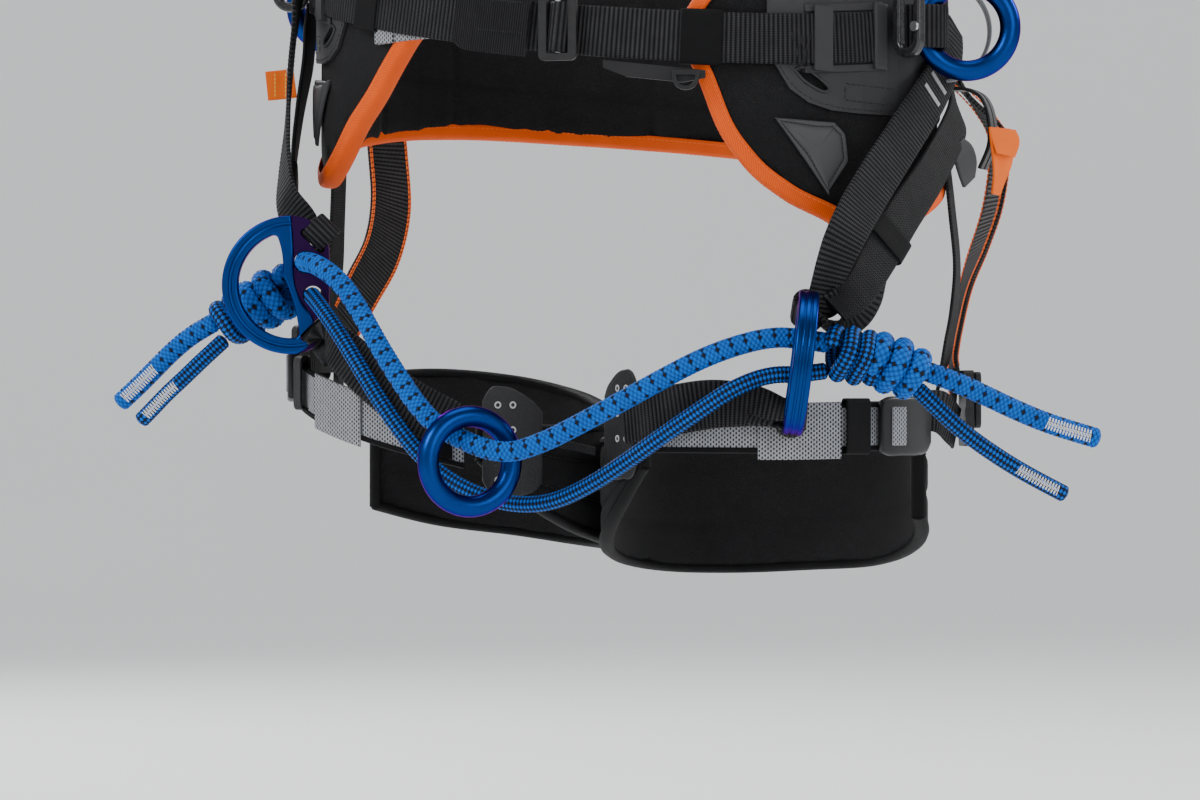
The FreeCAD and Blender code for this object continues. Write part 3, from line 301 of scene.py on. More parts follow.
def moulded_material(name, base, light, rough, grain, depth):
    """Moulded rubber or plastic: fine grain, soft clouding and slightly uneven gloss."""
    made = Shader(name, base, rough, Specular_IOR_Level=0.3)
    fine = made.noise(grain, 4, 0.6)
    cloud = made.noise(20, 5, 0.6)
    made.colour(made.blend(made.times(cloud, 1.1, -0.15), base, light))
    made.rough(cloud, rough - 0.1, rough + 0.12)
    made.bump(fine, depth, 0.6)
    return made.material


def leather_material(name, dark, light):
    """Soft synthetic leather: a pebble grain with shallow creases."""
    made = Shader(name, dark, 0.55, Specular_IOR_Level=0.4)
    pebble = made.cells(900, "SMOOTH_F1")
    cloud = made.noise(60, 5)
    made.colour(made.blend(made.times(pebble, cloud), dark, light))
    made.rough(cloud, 0.45, 0.65)
    made.bump(made.times(cloud, 0.8, pebble), 0.0004, 0.6)
    return made.material


def metal_material(name, base, shade, rough, **constants):
    """Metal with a fine brushed or blasted surface and small differences of tone."""
    made = Shader(name, base, rough, metal=1.0, **constants)
    cloud = made.noise(30, 5, 0.6)
    fine = made.noise(2600, 2)
    made.colour(made.blend(cloud, shade, base))
    made.rough(made.times(fine, 0.5, made.times(cloud, 0.5)), rough - 0.07, rough + 0.1)
    made.bump(fine, 0.00003, 0.5)
    return made.material


def coated_material(name, base, rough, coat=0.5):
    """Black coating on steel, with faint orange peel and lighter worn patches."""
    made = Shader(name, base, rough, Coat_Weight=coat, Coat_Roughness=0.14, Specular_IOR_Level=0.3)
    peel = made.noise(420, 3)
    wear_and_highlight_noise = made.noise(150, 6, 0.7)
    made.colour(made.blend(made.math("POWER", wear_and_highlight_noise, 3.0), base, tuple(c * 3 + 0.02 for c in base)))
    made.rough(wear_and_highlight_noise, rough - 0.06, rough + 0.14)
    made.bump(peel, 0.00008, 0.6)
    return made.material


ANODISED_TINT = (0.6, 0.2, 0.62, 1)


def plate_anodised_material(name, blue, purple, centre, normal, slot_side):
    """Anodised D plate: blue on the thick rim and bar, and a painted sheen of purple on the thinner web
    between them.
    """
    made = Shader(name, blue, 0.3, metal=1.0, Specular_Tint=ANODISED_TINT)
    offset = made.vector("SUBTRACT", made.place(), centre, 0)
    depth = made.vector("DOT_PRODUCT", offset, normal, "Value")
    lift = made.fitted(made.math("ABSOLUTE", depth), 0.0034, 0.0047)
    near = made.fitted(made.vector("DOT_PRODUCT", offset, slot_side, "Value"), 0.006, 0.002)
    cloud = made.noise(26, 4)
    body = made.blend(cloud, tuple(c * 0.55 for c in blue), blue)
    # The purple is a painted sheen, standing in for the tint that shows at grazing angles.
    made.colour(made.blend(made.math("MAXIMUM", lift, near), purple, body))
    made.rough(cloud, 0.24, 0.38)
    made.bump(made.noise(2600, 2), 0.00003, 0.5)
    return made.material


def rope_material():
    """Braided polyester: blue strands, and dark ones where the braid's own pattern puts them."""
    made = Shader("rope", (0.0, 0.2, 0.6), 0.5, Specular_IOR_Level=0.1)
    crown = made.attribute("strand_height")
    cloud = made.noise(70, 4)
    # The blue is darker down between the strands and lighter on their crowns: painted shade and painted
    # highlight. The black strands are painted lighter on their crowns too.
    deep, painted_highlight_blue = (0.0, 0.012, 0.09), (0.0, 0.14, 0.62)
    blue = made.blend(made.times(crown, made.times(cloud, 0.7, 0.65)), deep, painted_highlight_blue)
    dark = made.fitted(made.attribute("dark_strand"), 0.42, 0.58)
    black = made.blend(crown, (0.002, 0.002, 0.004), (0.012, 0.012, 0.016))
    made.colour(made.blend(dark, blue, black))
    along, _ = made.uv()
    fibres = made.wave(made.math("ADD", along, made.times(made.noise(800, 2), 0.6)), 0.34)
    made.rough(crown, 0.62, 0.4)
    made.bump(fibres, 0.00012, 0.5)
    return made.material


def make_materials():
    """Every material by name."""
    black = (0.0035, 0.0035, 0.004)
    orange, deep_orange = (0.95, 0.13, 0.004), (0.55, 0.05, 0.002)
    floor = Shader("floor", (0.80, 0.805, 0.81), 0.85, Emission_Color=(1, 1, 1, 1), Emission_Strength=0.2)
    floor.colour(floor.blend(floor.noise(1.2, 2), (0.78, 0.785, 0.79), (0.82, 0.825, 0.83)))
    made = [
        floor.material,
        # The second colour of the webbing, panel cloth, checker and elastic materials is the painted
        # highlight on their rib crests.
        webbing_material("webbing", black, (0.075, 0.075, 0.079)),
        webbing_material("panel_cloth", black, (0.05, 0.05, 0.053), rib=1.5, thread=0.8),
        checker_material("checker", black, (0.055, 0.055, 0.058), 2.2),
        twill_material("twill", orange, deep_orange),
        twill_material("tab_orange", (1.0, 0.2, 0.01), (0.85, 0.11, 0.005), 0.8),
        mesh_material("grey_mesh", (0.36, 0.37, 0.39), (0.012, 0.012, 0.013), 1.7, 2.6, 0.2),
        cloth_material("pad_cloth", (0.004, 0.004, 0.0045), (0.02, 0.02, 0.021), 1300),
        checker_material("elastic", (0.005, 0.005, 0.0055), (0.02, 0.02, 0.021), 0.9),
        moulded_material("plate", (0.02, 0.02, 0.0215), (0.037, 0.037, 0.039), 0.55, 1500, 0.00012),
        moulded_material("rubber", (0.046, 0.047, 0.05), (0.07, 0.07, 0.074), 0.6, 2200, 0.00008),
        moulded_material("dark_plastic", (0.007, 0.007, 0.008), (0.02, 0.02, 0.021), 0.38, 1400, 0.0001),
        moulded_material("guard_grey", (0.17, 0.175, 0.185), (0.24, 0.245, 0.255), 0.42, 900, 0.00005),
        leather_material("leather", (0.006, 0.006, 0.007), (0.026, 0.026, 0.028)),
        coated_material("coated", (0.008, 0.008, 0.009), 0.24),
        coated_material("buckle", (0.007, 0.007, 0.0075), 0.5, 0.06),
        metal_material("steel", (0.62, 0.62, 0.63), (0.42, 0.42, 0.43), 0.3),
        metal_material("blue", ANODISED_BLUE, (0.005, 0.02, 0.13), 0.27, Specular_Tint=ANODISED_TINT),
        rope_material(),
    ]
    for name, base, light in (("black", (0.012, 0.012, 0.012), (0.03, 0.03, 0.03)),
                              ("grey", (0.4, 0.4, 0.41), (0.62, 0.62, 0.62)),
                              ("white", (0.62, 0.64, 0.66), (0.85, 0.86, 0.88)),
                              ("orange", (0.85, 0.11, 0.008), (0.95, 0.2, 0.02)),
                              ("yellow", (0.75, 0.6, 0.05), (0.85, 0.75, 0.2))):
        made.append(moulded_material(name + "_thread", base, light, 0.6, 3000, 0.0001))
    # Blender adds a number to a name that one of the CAD's own materials already has.
    return {material.name.split(".")[0]: material for material in made}


MATERIALS = make_materials()
make_camera()


# ---------------------------------------------------------------- meshes

def new_piece(name, verts, faces, material, slot, body=ROOT, uvs=None, points=None):
    """A mesh object that rides on a body. Each uv belongs to a vertex, in millimetres."""
    mesh = bpy.data.meshes.new(name)
    mesh.from_pydata([tuple(v) for v in verts], [], faces)
    mesh.polygons.foreach_set("use_smooth", [True] * len(mesh.polygons))
    if uvs is not None:
        layer = mesh.uv_layers.new(name="lay")
        indices = np.zeros(len(mesh.loops), int)
        mesh.loops.foreach_get("vertex_index", indices)
        layer.data.foreach_set("uv", np.array(uvs, float)[indices].ravel())
    for key, values in (points or {}).items():
        attribute = mesh.attributes.new(key, "FLOAT", "POINT")
        attribute.data.foreach_set("value", np.array(values, np.float32))
    mesh.materials.append(MATERIALS[material])
    piece = bpy.data.objects.new(name, mesh)
    bpy.context.scene.collection.objects.link(piece)
    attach(piece, body)
    return piece


def grid_faces(rings, around, closed=False):
    """Quads over rings of points. A closed grid joins its last ring to its first."""
    faces = []
    for ring in range(rings if closed else rings - 1):
        low, high = ring * around, (ring + 1) % rings * around
        for step in range(around):
            following = (step + 1) % around
            faces.append((low + step, low + following, high + following, high + step))
    return faces


def tube_faces(rings, around):
    """Faces over rings of points, with each end closed by a fan round an added middle point."""
    first, last, end = rings * around, rings * around + 1, (rings - 1) * around
    faces = grid_faces(rings, around)
    for step in range(around):
        following = (step + 1) % around
        faces += [(first, following, step), (last, end + step, end + following)]
    return faces


def circle(count):
    """Equal turns all the way round."""
    return np.linspace(0, 2 * np.pi, count, endpoint=False)


def oval(turns, first, second):
    """Points at the given turns, on the oval that two directions span."""
    return np.outer(np.cos(turns), first) + np.outer(np.sin(turns), second)


def skin(name, rings, material, slot, body=ROOT, uvs=None, points=None):
    """A closed mesh through an array of rings: rings x around x 3."""
    rings = np.asarray(rings, float)
    count, around = rings.shape[:2]
    verts = np.concatenate([rings.reshape(-1, 3), rings[0].mean(0)[None], rings[-1].mean(0)[None]])
    if uvs is not None:
        uvs = np.asarray(uvs, float)
        uvs = np.concatenate([uvs.reshape(-1, 2), uvs[0].mean(0)[None], uvs[-1].mean(0)[None]])
    extended = {}
    for key, values in (points or {}).items():
        flat = np.asarray(values, float).ravel()
        extended[key] = np.concatenate([flat, [flat[0], flat[-1]]])
    return new_piece(name, verts, tube_faces(count, around), material, slot, body, uvs, extended)


def merged(name, parts, material, slot):
    """One piece from several closed shells, each a pair of points and faces."""
    verts, faces, start = [], [], 0
    for part_verts, part_faces in parts:
        verts.append(np.asarray(part_verts, float))
        faces += [tuple(index + start for index in face) for face in part_faces]
        start += len(part_verts)
    return new_piece(name, np.concatenate(verts), faces, material, slot)


def smooth_line(points, step):
    """A curve through the points (any columns), resampled at equal steps of its first three."""
    points = np.asarray(points, float)
    padded = np.concatenate([2 * points[:1] - points[1:2], points, 2 * points[-1:] - points[-2:-1]])
    fine = []
    share = np.linspace(0, 1, 24, endpoint=False)[:, None]
    for a, b, c, d in zip(padded, padded[1:], padded[2:], padded[3:]):
        fine.append(0.5 * (2 * b + (c - a) * share + (2 * a - 5 * b + 4 * c - d) * share ** 2
                           + (3 * b - a - 3 * c + d) * share ** 3))
    fine.append(points[-1:])
    return resampled(np.concatenate(fine), step)


def run_lengths(line):
    return np.concatenate([[0], np.cumsum(np.linalg.norm(np.diff(line[:, :3], axis=0), axis=1))])


def at_lengths(line, lengths, wanted):
    """The line's values at the wanted lengths along it."""
    return np.stack([np.interp(wanted, lengths, column) for column in line.T], axis=-1)


def resampled(line, step):
    """The line with points at equal distances near the given step."""
    lengths = run_lengths(line)
    count = max(2, int(round(lengths[-1] / step)) + 1)
    return at_lengths(line, lengths, np.linspace(0, lengths[-1], count))


def unit(vectors):
    vectors = np.asarray(vectors, float)
    return vectors / np.linalg.norm(vectors, axis=-1, keepdims=True)


def directions(line):
    """Unit tangents of a line of points."""
    return unit(np.gradient(np.asarray(line, float)[:, :3], axis=0))


def carried_frames(line):
    """Two directions square to the line, carried along it without twist."""
    tangents = directions(line)
    start = np.cross(tangents[0], (0, 0, 1))
    if np.linalg.norm(start) < 0.1:
        start = np.cross(tangents[0], (1, 0, 0))
    sides = [unit(start)]
    for tangent in tangents[1:]:
        side = sides[-1] - tangent * np.dot(sides[-1], tangent)
        sides.append(unit(side))
    sides = np.array(sides)
    return tangents, sides, np.cross(tangents, sides)


def flat_section(width, thickness, corner, steps=14):
    """Points round a flat strap's section: straight top and bottom, and round edges."""
    half, deep = width / 2 - corner, thickness / 2
    across, turns = np.linspace(-half, half, steps), np.linspace(0.5, math.pi - 0.5, 4)
    return np.array([(x, deep) for x in across]
                    + [(half + corner * math.sin(t), deep * math.cos(t)) for t in turns]
                    + [(x, -deep) for x in across[::-1]]
                    + [(-half - corner * math.sin(t), -deep * math.cos(t)) for t in turns])


def strap(name, route, facings, widths, thickness=2.6, material="webbing", slot="black_webbing", body=ROOT,
          rib=RIB, rib_height=0.32, step=0.5):
    """A woven strap along a route in millimetres, with ribs across it where rib is given."""
    route, facings = np.asarray(route, float), unit(facings)
    widths = np.full(len(route), widths, float) if np.isscalar(widths) else np.asarray(widths, float)
    line = smooth_line(np.column_stack([route, facings, widths]), step)
    along = run_lengths(line)
    tangents, looks = directions(line), unit(line[:, 3:6])
    across = unit(np.cross(tangents, looks))
    out = np.cross(across, tangents)
    rings, uvs = [], []
    base = flat_section(1.0, thickness, 0.05)
    for index in range(len(line)):
        width = line[index, 6]
        section = base * (width, 1.0)
        inside = np.clip((width / 2 - np.abs(section[:, 0])) / 1.6, 0, 1)
        lift = rib_height * (0.5 + 0.5 * np.cos(2 * np.pi * along[index] / rib)) * inside if rib else 0.0
        outward = section[:, 1] + np.sign(section[:, 1]) * lift
        rings.append(line[index, :3] + np.outer(section[:, 0], across[index]) + np.outer(outward, out[index]))
        uvs.append(np.column_stack([np.full(len(section), along[index]), section[:, 0]]))
    return skin(name, np.array(rings) * MM, material, slot, body, uvs)


def capsule(start, end, radius):
    """A short round thread between two points."""
    start, end = np.asarray(start, float), np.asarray(end, float)
    line = np.array([start, start + (end - start) * 0.12, start + (end - start) * 0.88, end])
    _, first, second = carried_frames(line)
    rings = [centre + oval(circle(6), a, b) * radius * share
             for centre, a, b, share in zip(line, first, second, (0.45, 1.0, 1.0, 0.45))]
    return np.concatenate([np.concatenate(rings), start[None], end[None]]) * MM, tube_faces(4, 6)


def stitches(name, lines, material, slot, length=2.2, gap=1.0, radius=0.28, lift=0.1):
    """Rows of stitches. Each line is a pair: points, and the outward direction at each, in millimetres."""
    parts = []
    for points, normals in lines:
        line = smooth_line(np.column_stack([points, unit(normals)]), 0.4)
        lengths = run_lengths(line)
        start = gap / 2
        while start + length < lengths[-1]:
            ends = []
            for reach in (start, start + length):
                place = at_lengths(line, lengths, reach)
                ends.append(place[:3] + unit(place[3:6]) * lift)
            parts.append(capsule(*ends, radius))
            start += length + gap
    return merged(name, parts, material, slot)


# ---------------------------------------------------------------- surfaces of the wearer, in mm

HIP_HALF_WIDTH, HIP_HALF_DEPTH = 188.0, 126.0
THIGH_RADIUS, THIGH_OFFSET, THIGH_FRONT = 95.0, 100.0, 35.0
SIDE_TILT, BACK_RISE = 0.11, 27.0
PLATE_IN, PLATE_OUT, BELT_IN, BELT_OUT, COVER_IN = 11.4, 13.4, 13.8, 16.4, 16.8
BELT_WIDTH = 30.0


def hip_facing(angle):
    turn = math.radians(angle)
    return unit((math.sin(turn) / HIP_HALF_WIDTH, -math.cos(turn) / HIP_HALF_DEPTH, 0))


def hip_point(angle, height, out):
    turn = math.radians(angle)
    point = np.array([HIP_HALF_WIDTH * math.sin(turn), -HIP_HALF_DEPTH * math.cos(turn), 0])
    point += hip_facing(angle) * out
    point[2] = height - SIDE_TILT * point[0]
    return point


def belt_rise(angle):
    return BACK_RISE * (1 - math.cos(math.radians(angle)))


def leg_facing(side, angle):
    turn = math.radians(angle)
    return np.array([side * math.sin(turn), -math.cos(turn), 0])


def leg_point(side, angle, height, out):
    centre = np.array([side * THIGH_OFFSET, -THIGH_FRONT, height])
    return centre + leg_facing(side, angle) * (THIGH_RADIUS + out)


def hip_angle_at(angle, along):
    """The angle reached from another one by going some millimetres along the hip."""
    turn = math.radians(angle)
    per_radian = math.hypot(HIP_HALF_WIDTH * math.cos(turn), HIP_HALF_DEPTH * math.sin(turn)) + 12
    return angle + math.degrees(along / per_radian)


def edge_at(stations, column):
    """A smooth function of the angle through one edge of the stations."""
    stations = sorted(stations)
    angles = np.array([station[0] for station in stations], float)
    values = np.array([station[column] for station in stations], float)
    slopes = np.gradient(values, angles)

    def edge(angle):
        index = int(np.clip(np.searchsorted(angles, angle) - 1, 0, len(angles) - 2))
        gap = angles[index + 1] - angles[index]
        t = (angle - angles[index]) / gap
        return ((2 * t ** 3 - 3 * t ** 2 + 1) * values[index]
                + (t ** 3 - 2 * t ** 2 + t) * gap * slopes[index]
                + (3 * t ** 2 - 2 * t ** 3) * values[index + 1] + (t ** 3 - t ** 2) * gap * slopes[index + 1])
    return edge


def band_rings(place, stations, inner, outer, step=1.0, rows=20, corner=0.9):
    """Rings of a curved band: place(angle, height, out) gives each point. Edges are rounded."""
    low, high = edge_at(stations, 1), edge_at(stations, 2)
    angles = sorted(station[0] for station in stations)
    count = max(3, int(abs(angles[-1] - angles[0]) / step) + 1)
    rings, uvs, along, before = [], [], 0.0, None
    middle, deep = (inner + outer) / 2, (outer - inner) / 2
    turns = np.linspace(0.5, math.pi - 0.5, 3)
    for angle in np.linspace(angles[0], angles[-1], count):
        bottom, top = low(angle), high(angle)
        levels = [bottom + corner + (top - bottom - 2 * corner) * share for share in np.linspace(0, 1, rows)]
        ring = [(level, deep) for level in levels]
        ring += [(top - corner + corner * math.sin(turn), deep * math.cos(turn)) for turn in turns]
        ring += [(level, -deep) for level in levels[::-1]]
        ring += [(bottom + corner - corner * math.sin(turn), -deep * math.cos(turn)) for turn in turns]
        points = [place(angle, height, middle + out) for height, out in ring]
        centre = place(angle, (bottom + top) / 2, middle)
        if before is not None:
            along += float(np.linalg.norm((centre - before)[:2]))
        before = centre
        rings.append(points)
        uvs.append([(along, height) for height, _ in ring])
    return np.array(rings), np.array(uvs)


def band(name, place, stations, inner, outer, material, slot, **options):
    rings, uvs = band_rings(place, stations, inner, outer, **options)
    return skin(name, rings * MM, material, slot, uvs=uvs)


def leg_place(side):
    return lambda angle, height, out: leg_point(side, angle, height, out)


# ---------------------------------------------------------------- ropes

CARRIERS = 8
THICK, THIN = 0.012, 0.010

THICK_ROUTE = [(-0.187, -0.091, -0.149), (-0.1739, -0.0995, -0.1368), (-0.165, -0.1239, -0.1368),
               (-0.148, -0.143, -0.139), (-0.128, -0.153, -0.150), (-0.113, -0.159, -0.168),
               (-0.099, -0.1645, -0.188), (-0.085, -0.168, -0.207), (-0.072, -0.170, -0.224),
               (-0.057, -0.171, -0.2385), (-0.017, -0.1755, -0.254), (0.009, -0.1725, -0.246),
               (0.032, -0.168, -0.234), (0.056, -0.163, -0.221), (0.079, -0.1585, -0.208),
               (0.101, -0.154, -0.1965), (0.122, -0.148, -0.1885), (0.1415, -0.1412, -0.184),
               (0.1575, -0.1354, -0.1857), (0.172, -0.130, -0.188)]
THIN_ROUTE = [(-0.184, -0.088, -0.160), (-0.1696, -0.0979, -0.1573), (-0.1607, -0.1223, -0.1573),
              (-0.149, -0.136, -0.164), (-0.135, -0.144, -0.178), (-0.122, -0.148, -0.195),
              (-0.109, -0.1505, -0.214), (-0.095, -0.150, -0.234), (-0.081, -0.146, -0.253),
              (-0.065, -0.1415, -0.268), (-0.045, -0.138, -0.278), (-0.022, -0.137, -0.2835),
              (0.003, -0.141, -0.282), (0.028, -0.1455, -0.2715), (0.052, -0.1495, -0.2575),
              (0.075, -0.1525, -0.2425), (0.098, -0.1525, -0.2275), (0.119, -0.149, -0.2135),
              (0.1375, -0.140, -0.206), (0.1535, -0.132, -0.2062), (0.169, -0.126, -0.2038)]
TAILS = {
    "tail_right_thick": ([(-0.236, -0.0945, -0.172), (-0.250, -0.096, -0.179), (-0.264, -0.098, -0.190),
                          (-0.277, -0.100, -0.203), (-0.289, -0.1025, -0.215),
                          (-0.299, -0.1045, -0.224)], THICK),
    "tail_right_thin": ([(-0.2315, -0.0915, -0.183), (-0.243, -0.0955, -0.194), (-0.255, -0.099, -0.206),
                         (-0.268, -0.1015, -0.218), (-0.277, -0.104, -0.228),
                         (-0.284, -0.1055, -0.235)], THIN),
    "tail_left_thick": ([(0.218, -0.1075, -0.2025), (0.231, -0.100, -0.2075), (0.249, -0.090, -0.216),
                         (0.271, -0.081, -0.2275), (0.293, -0.072, -0.237), (0.316, -0.0625, -0.244)], THICK),
    "tail_left_thin": ([(0.216, -0.105, -0.2135), (0.227, -0.0985, -0.2255), (0.241, -0.091, -0.240),
                        (0.259, -0.0825, -0.254), (0.278, -0.074, -0.2665), (0.297, -0.066, -0.277)], THIN),
}


def nurbs_line(points, step):
    """Points read from the smooth NURBS line of a route."""
    data = bpy.data.curves.new("route", "CURVE")
    data.dimensions = "3D"
    spline = data.splines.new("NURBS")
    spline.points.add(len(points) - 1)
    for control, place in zip(spline.points, points):
        control.co = (*place, 1)
    spline.order_u = 3
    spline.use_endpoint_u = True
    spline.resolution_u = 24
    carrier = bpy.data.objects.new("route", data)
    bpy.context.scene.collection.objects.link(carrier)
    mesh = bpy.data.meshes.new_from_object(carrier.evaluated_get(bpy.context.evaluated_depsgraph_get()))
    line = np.array([vertex.co for vertex in mesh.vertices])
    bpy.data.objects.remove(carrier)
    bpy.data.curves.remove(data)
    bpy.data.meshes.remove(mesh)
    return resampled(line, step)


def dark_thick(column, row):
    """Dark floats of the thick rope: one in three, on three columns of every eight, staggered."""
    return np.isin(column % 8, (0, 3, 5)) & (((row + column % 2) % 3) == 0)


def dark_thin(column, row):
    """Dark floats of the thin rope: every other column, which is one of the braid's two directions."""
    return column % 2 == 1


def rope_mesh(name, line, diameter, start_angle=0.0):
    """A braided rope along a line of points: crossing strands stand out of a round core."""
    radius = diameter / 2
    length_step = 0.0014 if diameter == THICK else 0.0012
    pattern = dark_thick if diameter == THICK else dark_thin
    around = CARRIERS * 12
    along = run_lengths(line)
    _, first, second = carried_frames(line)
    turns = circle(around)
    angle, reach = np.meshgrid(turns + start_angle, along)
    a = CARRIERS * angle / (2 * np.pi) + reach / (2 * length_step)
    b = CARRIERS * angle / (2 * np.pi) - reach / (2 * length_step)
    i, j = np.floor(a), np.floor(b)
    fa, fb = a - i - 0.5, b - j - 0.5
    even = ((i + j) % 2) == 0
    over, under = np.where(even, fa, fb), np.where(even, fb, fa)
    height = np.sqrt(np.clip(1 - np.abs(2 * over) ** 2.4, 0, 1)) * np.cos(np.pi * under * 0.86) ** 0.7
    column, row = (i + j).astype(int) % (2 * CARRIERS), np.floor((i - j) / 2).astype(int)
    dark = pattern(column, row).astype(float)
    taper = np.minimum(1, np.minimum(along, along[-1] - along) / (radius * 0.55))
    taper = np.sqrt(np.clip(1 - (1 - taper) ** 2, 0.03, 1))[:, None]
    out = radius * (0.87 + 0.16 * height) * taper
    rings = (line[:, None, :] + (np.cos(turns) * out)[:, :, None] * first[:, None, :]
             + (np.sin(turns) * out)[:, :, None] * second[:, None, :])
    uvs = np.stack([reach / MM, angle * radius / MM], axis=2)
    return skin(name, rings, "rope", "blue_rope", uvs=uvs,
                points={"dark_strand": dark, "strand_height": height})


def knot_line(start, direction, wraps, wrap_radius, pitch, turn, hand):
    """The centre line of rope that winds round an axis, and tucks in towards it at both ends."""
    axis = unit(direction)
    side = unit(np.cross(axis, (0, 0, 1)))
    upward = np.cross(side, axis)
    points = []
    for share in np.linspace(-KNOT_LEAD, wraps + KNOT_LEAD, int(40 * (wraps + 2 * KNOT_LEAD))):
        beyond = max(0.0, -share, share - wraps) / KNOT_LEAD
        radius = wrap_radius * (1 - 0.5 * beyond ** 1.5)
        angle = turn + hand * 2 * math.pi * share
        wobble = 0.0006 * math.sin(3 * angle + 1.3)
        wound = min(max(share, 0), wraps)
        along = pitch * wound + pitch * 0.35 * (share - wound) / KNOT_LEAD
        points.append(np.asarray(start) + axis * (along + wobble)
                      + side * math.cos(angle) * radius + upward * math.sin(angle) * radius)
    return resampled(np.array(points), ROPE_STEP)


# How far, in turns, a knot's rope runs on beyond its wraps, and the distance between a rope's rings.
KNOT_LEAD, ROPE_STEP = 0.3, 0.0006


KNOTS = {
    "left_thin": ((0.1740, -0.1292, -0.1930), (0.89, 0.40, -0.2), 2.25, 0.0122, 0.0099, 2.2, THIN, 1),
    "left_thick": ((0.1968, -0.1187, -0.1982), (0.86, 0.43, -0.27), 1.85, 0.0118, 0.0120, 1.0, THICK, 1),
    "right_thick": ((-0.1925, -0.0897, -0.1530), (-0.84, -0.03, -0.42), 1.7, 0.0122, 0.0120, 0.6, THICK, -1),
    "right_thin": ((-0.2130, -0.0905, -0.1640), (-0.84, -0.03, -0.42), 1.9, 0.0118, 0.0099, 2.0, THIN, -1),
}


def make_knots():
    """The wraps of each rope behind its D plate."""
    made = {}
    for label, (*winding, rope, hand) in KNOTS.items():
        made[label] = rope_mesh("knot_" + label, knot_line(*winding, hand), rope)
        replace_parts(made[label], "knots_" + label.split("_")[0])
    return made


def whipping(name, line, diameter, start, length):
    """Plain stitched whipping near a rope's end: short threads, side by side, round the front half."""
    tangents = carried_frames(line)[0]
    along = run_lengths(line)
    parts = []
    for row in range(int(length / WHIPPING_PITCH)):
        reach = start + row * WHIPPING_PITCH
        centre = at_lengths(line, along, reach)
        tangent = tangents[int(np.searchsorted(along, reach))]
        face = -np.array(AWAY)
        face = unit(face - tangent * np.dot(face, tangent))
        other = np.cross(tangent, face)
        slant = tangent * 0.0004 * (1 if row % 2 else -1)
        for a, b in ((-0.62, -0.22), (-0.18, 0.2), (0.24, 0.62)):
            ends = [centre + (face * math.cos(t) + other * math.sin(t)) * (diameter / 2 * 1.03)
                    + slant * (t / 0.62) for t in (a, (a + b) / 2, b)]
            parts.append(capsule(ends[0] / MM, ends[1] / MM, 0.34))
            parts.append(capsule(ends[1] / MM, ends[2] / MM, 0.34))
    return merged(name, parts, "white_thread", "blue_rope")


# Between two threads of a whipping; its length, and how far from the rope's end it starts.
WHIPPING_PITCH, WHIPPING_LENGTH, WHIPPING_START = 0.0009, 0.027, 0.033


def make_ropes():
    """Both bridge ropes and their four tails."""
    knots = make_knots()
    bridge = {"bridge_rope_thick": (THICK_ROUTE, THICK), "bridge_rope_thin": (THIN_ROUTE, THIN)}
    for label, (route, diameter) in {**bridge, **TAILS}.items():
        line = nurbs_line(route, ROPE_STEP)
        length = float(run_lengths(line)[-1])
        rope = rope_mesh("braided_" + label, line, diameter, start_angle=0.0 if label in bridge else 0.4)
        if label in bridge:
            pieces = [knots[end + label.split("_")[-1]] for end in ("right_", "left_")]
        else:
            pieces = [whipping("whipping_" + label, line, diameter, length - WHIPPING_START, WHIPPING_LENGTH)]
        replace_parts(rope, label)


make_ropes()


# ---------------------------------------------------------------- small shared pieces

def closed_skin(name, rings, material, slot, uvs=None):
    """A ring-shaped mesh: the last ring joins the first."""
    rings = np.asarray(rings, float)
    count, around = rings.shape[:2]
    return new_piece(name, rings.reshape(-1, 3), grid_faces(count, around, closed=True), material, slot,
                     uvs=None if uvs is None else np.asarray(uvs, float).reshape(-1, 2))


def keeper(name, centre, along, out, reach, wide, deep, thick=1.3):
    """A tape loop round a strap. reach runs along the strap, and wide and deep are its inside."""
    centre, along, out = np.asarray(centre, float), unit(along), unit(out)
    across = unit(np.cross(along, out))
    out = np.cross(across, along)
    rings, uvs, travelled, before = [], [], 0.0, None
    section = flat_section(reach, thick, 0.5, 10)
    for turn in circle(72):
        c, s = math.cos(turn), math.sin(turn)
        x = (wide + thick) / 2 * math.copysign(abs(c) ** 0.24, c)
        y = (deep + thick) / 2 * math.copysign(abs(s) ** 0.5, s)
        spot = centre + across * x + out * y
        slope = np.array([abs(c) ** 1.6 * np.sign(c), abs(s) ** 0.7 * np.sign(s) + 1e-6])
        normal = unit(across * slope[0] + out * slope[1])
        travelled += 0.0 if before is None else float(np.linalg.norm(spot - before))
        before = spot
        rings.append(spot + np.outer(section[:, 0], along) + np.outer(section[:, 1], normal))
        uvs.append(np.column_stack([np.full(len(section), travelled), section[:, 0]]))
    return closed_skin(name, np.array(rings) * MM, "elastic", "black_elastic", uvs)


def hip_line(angles, heights, outs):
    """Points on the hip, and the facing at each."""
    points = [hip_point(a, h, o) for a, h, o in zip(angles, heights, outs)]
    return np.array(points), np.array([hip_facing(a) for a in angles])


def tack(lines, start, end, facing, threads=9, wide=2.6):
    """A bar tack between two points: zigzag threads close together."""
    start, end, facing = np.asarray(start, float), np.asarray(end, float), unit(facing)
    side = unit(np.cross(unit(end - start), facing)) * wide / 2
    for share in np.linspace(0, 1, threads):
        middle = start + (end - start) * share
        lines.append(capsule(middle - side, middle + side * 0.9 + (end - start) / threads * 0.4, 0.27))


def route_at(route, share):
    """A point part of the way along a route of points."""
    line = smooth_line(np.asarray(route, float), 0.5)
    return line[int(round(share * (len(line) - 1)))]


# ---------------------------------------------------------------- padded belt

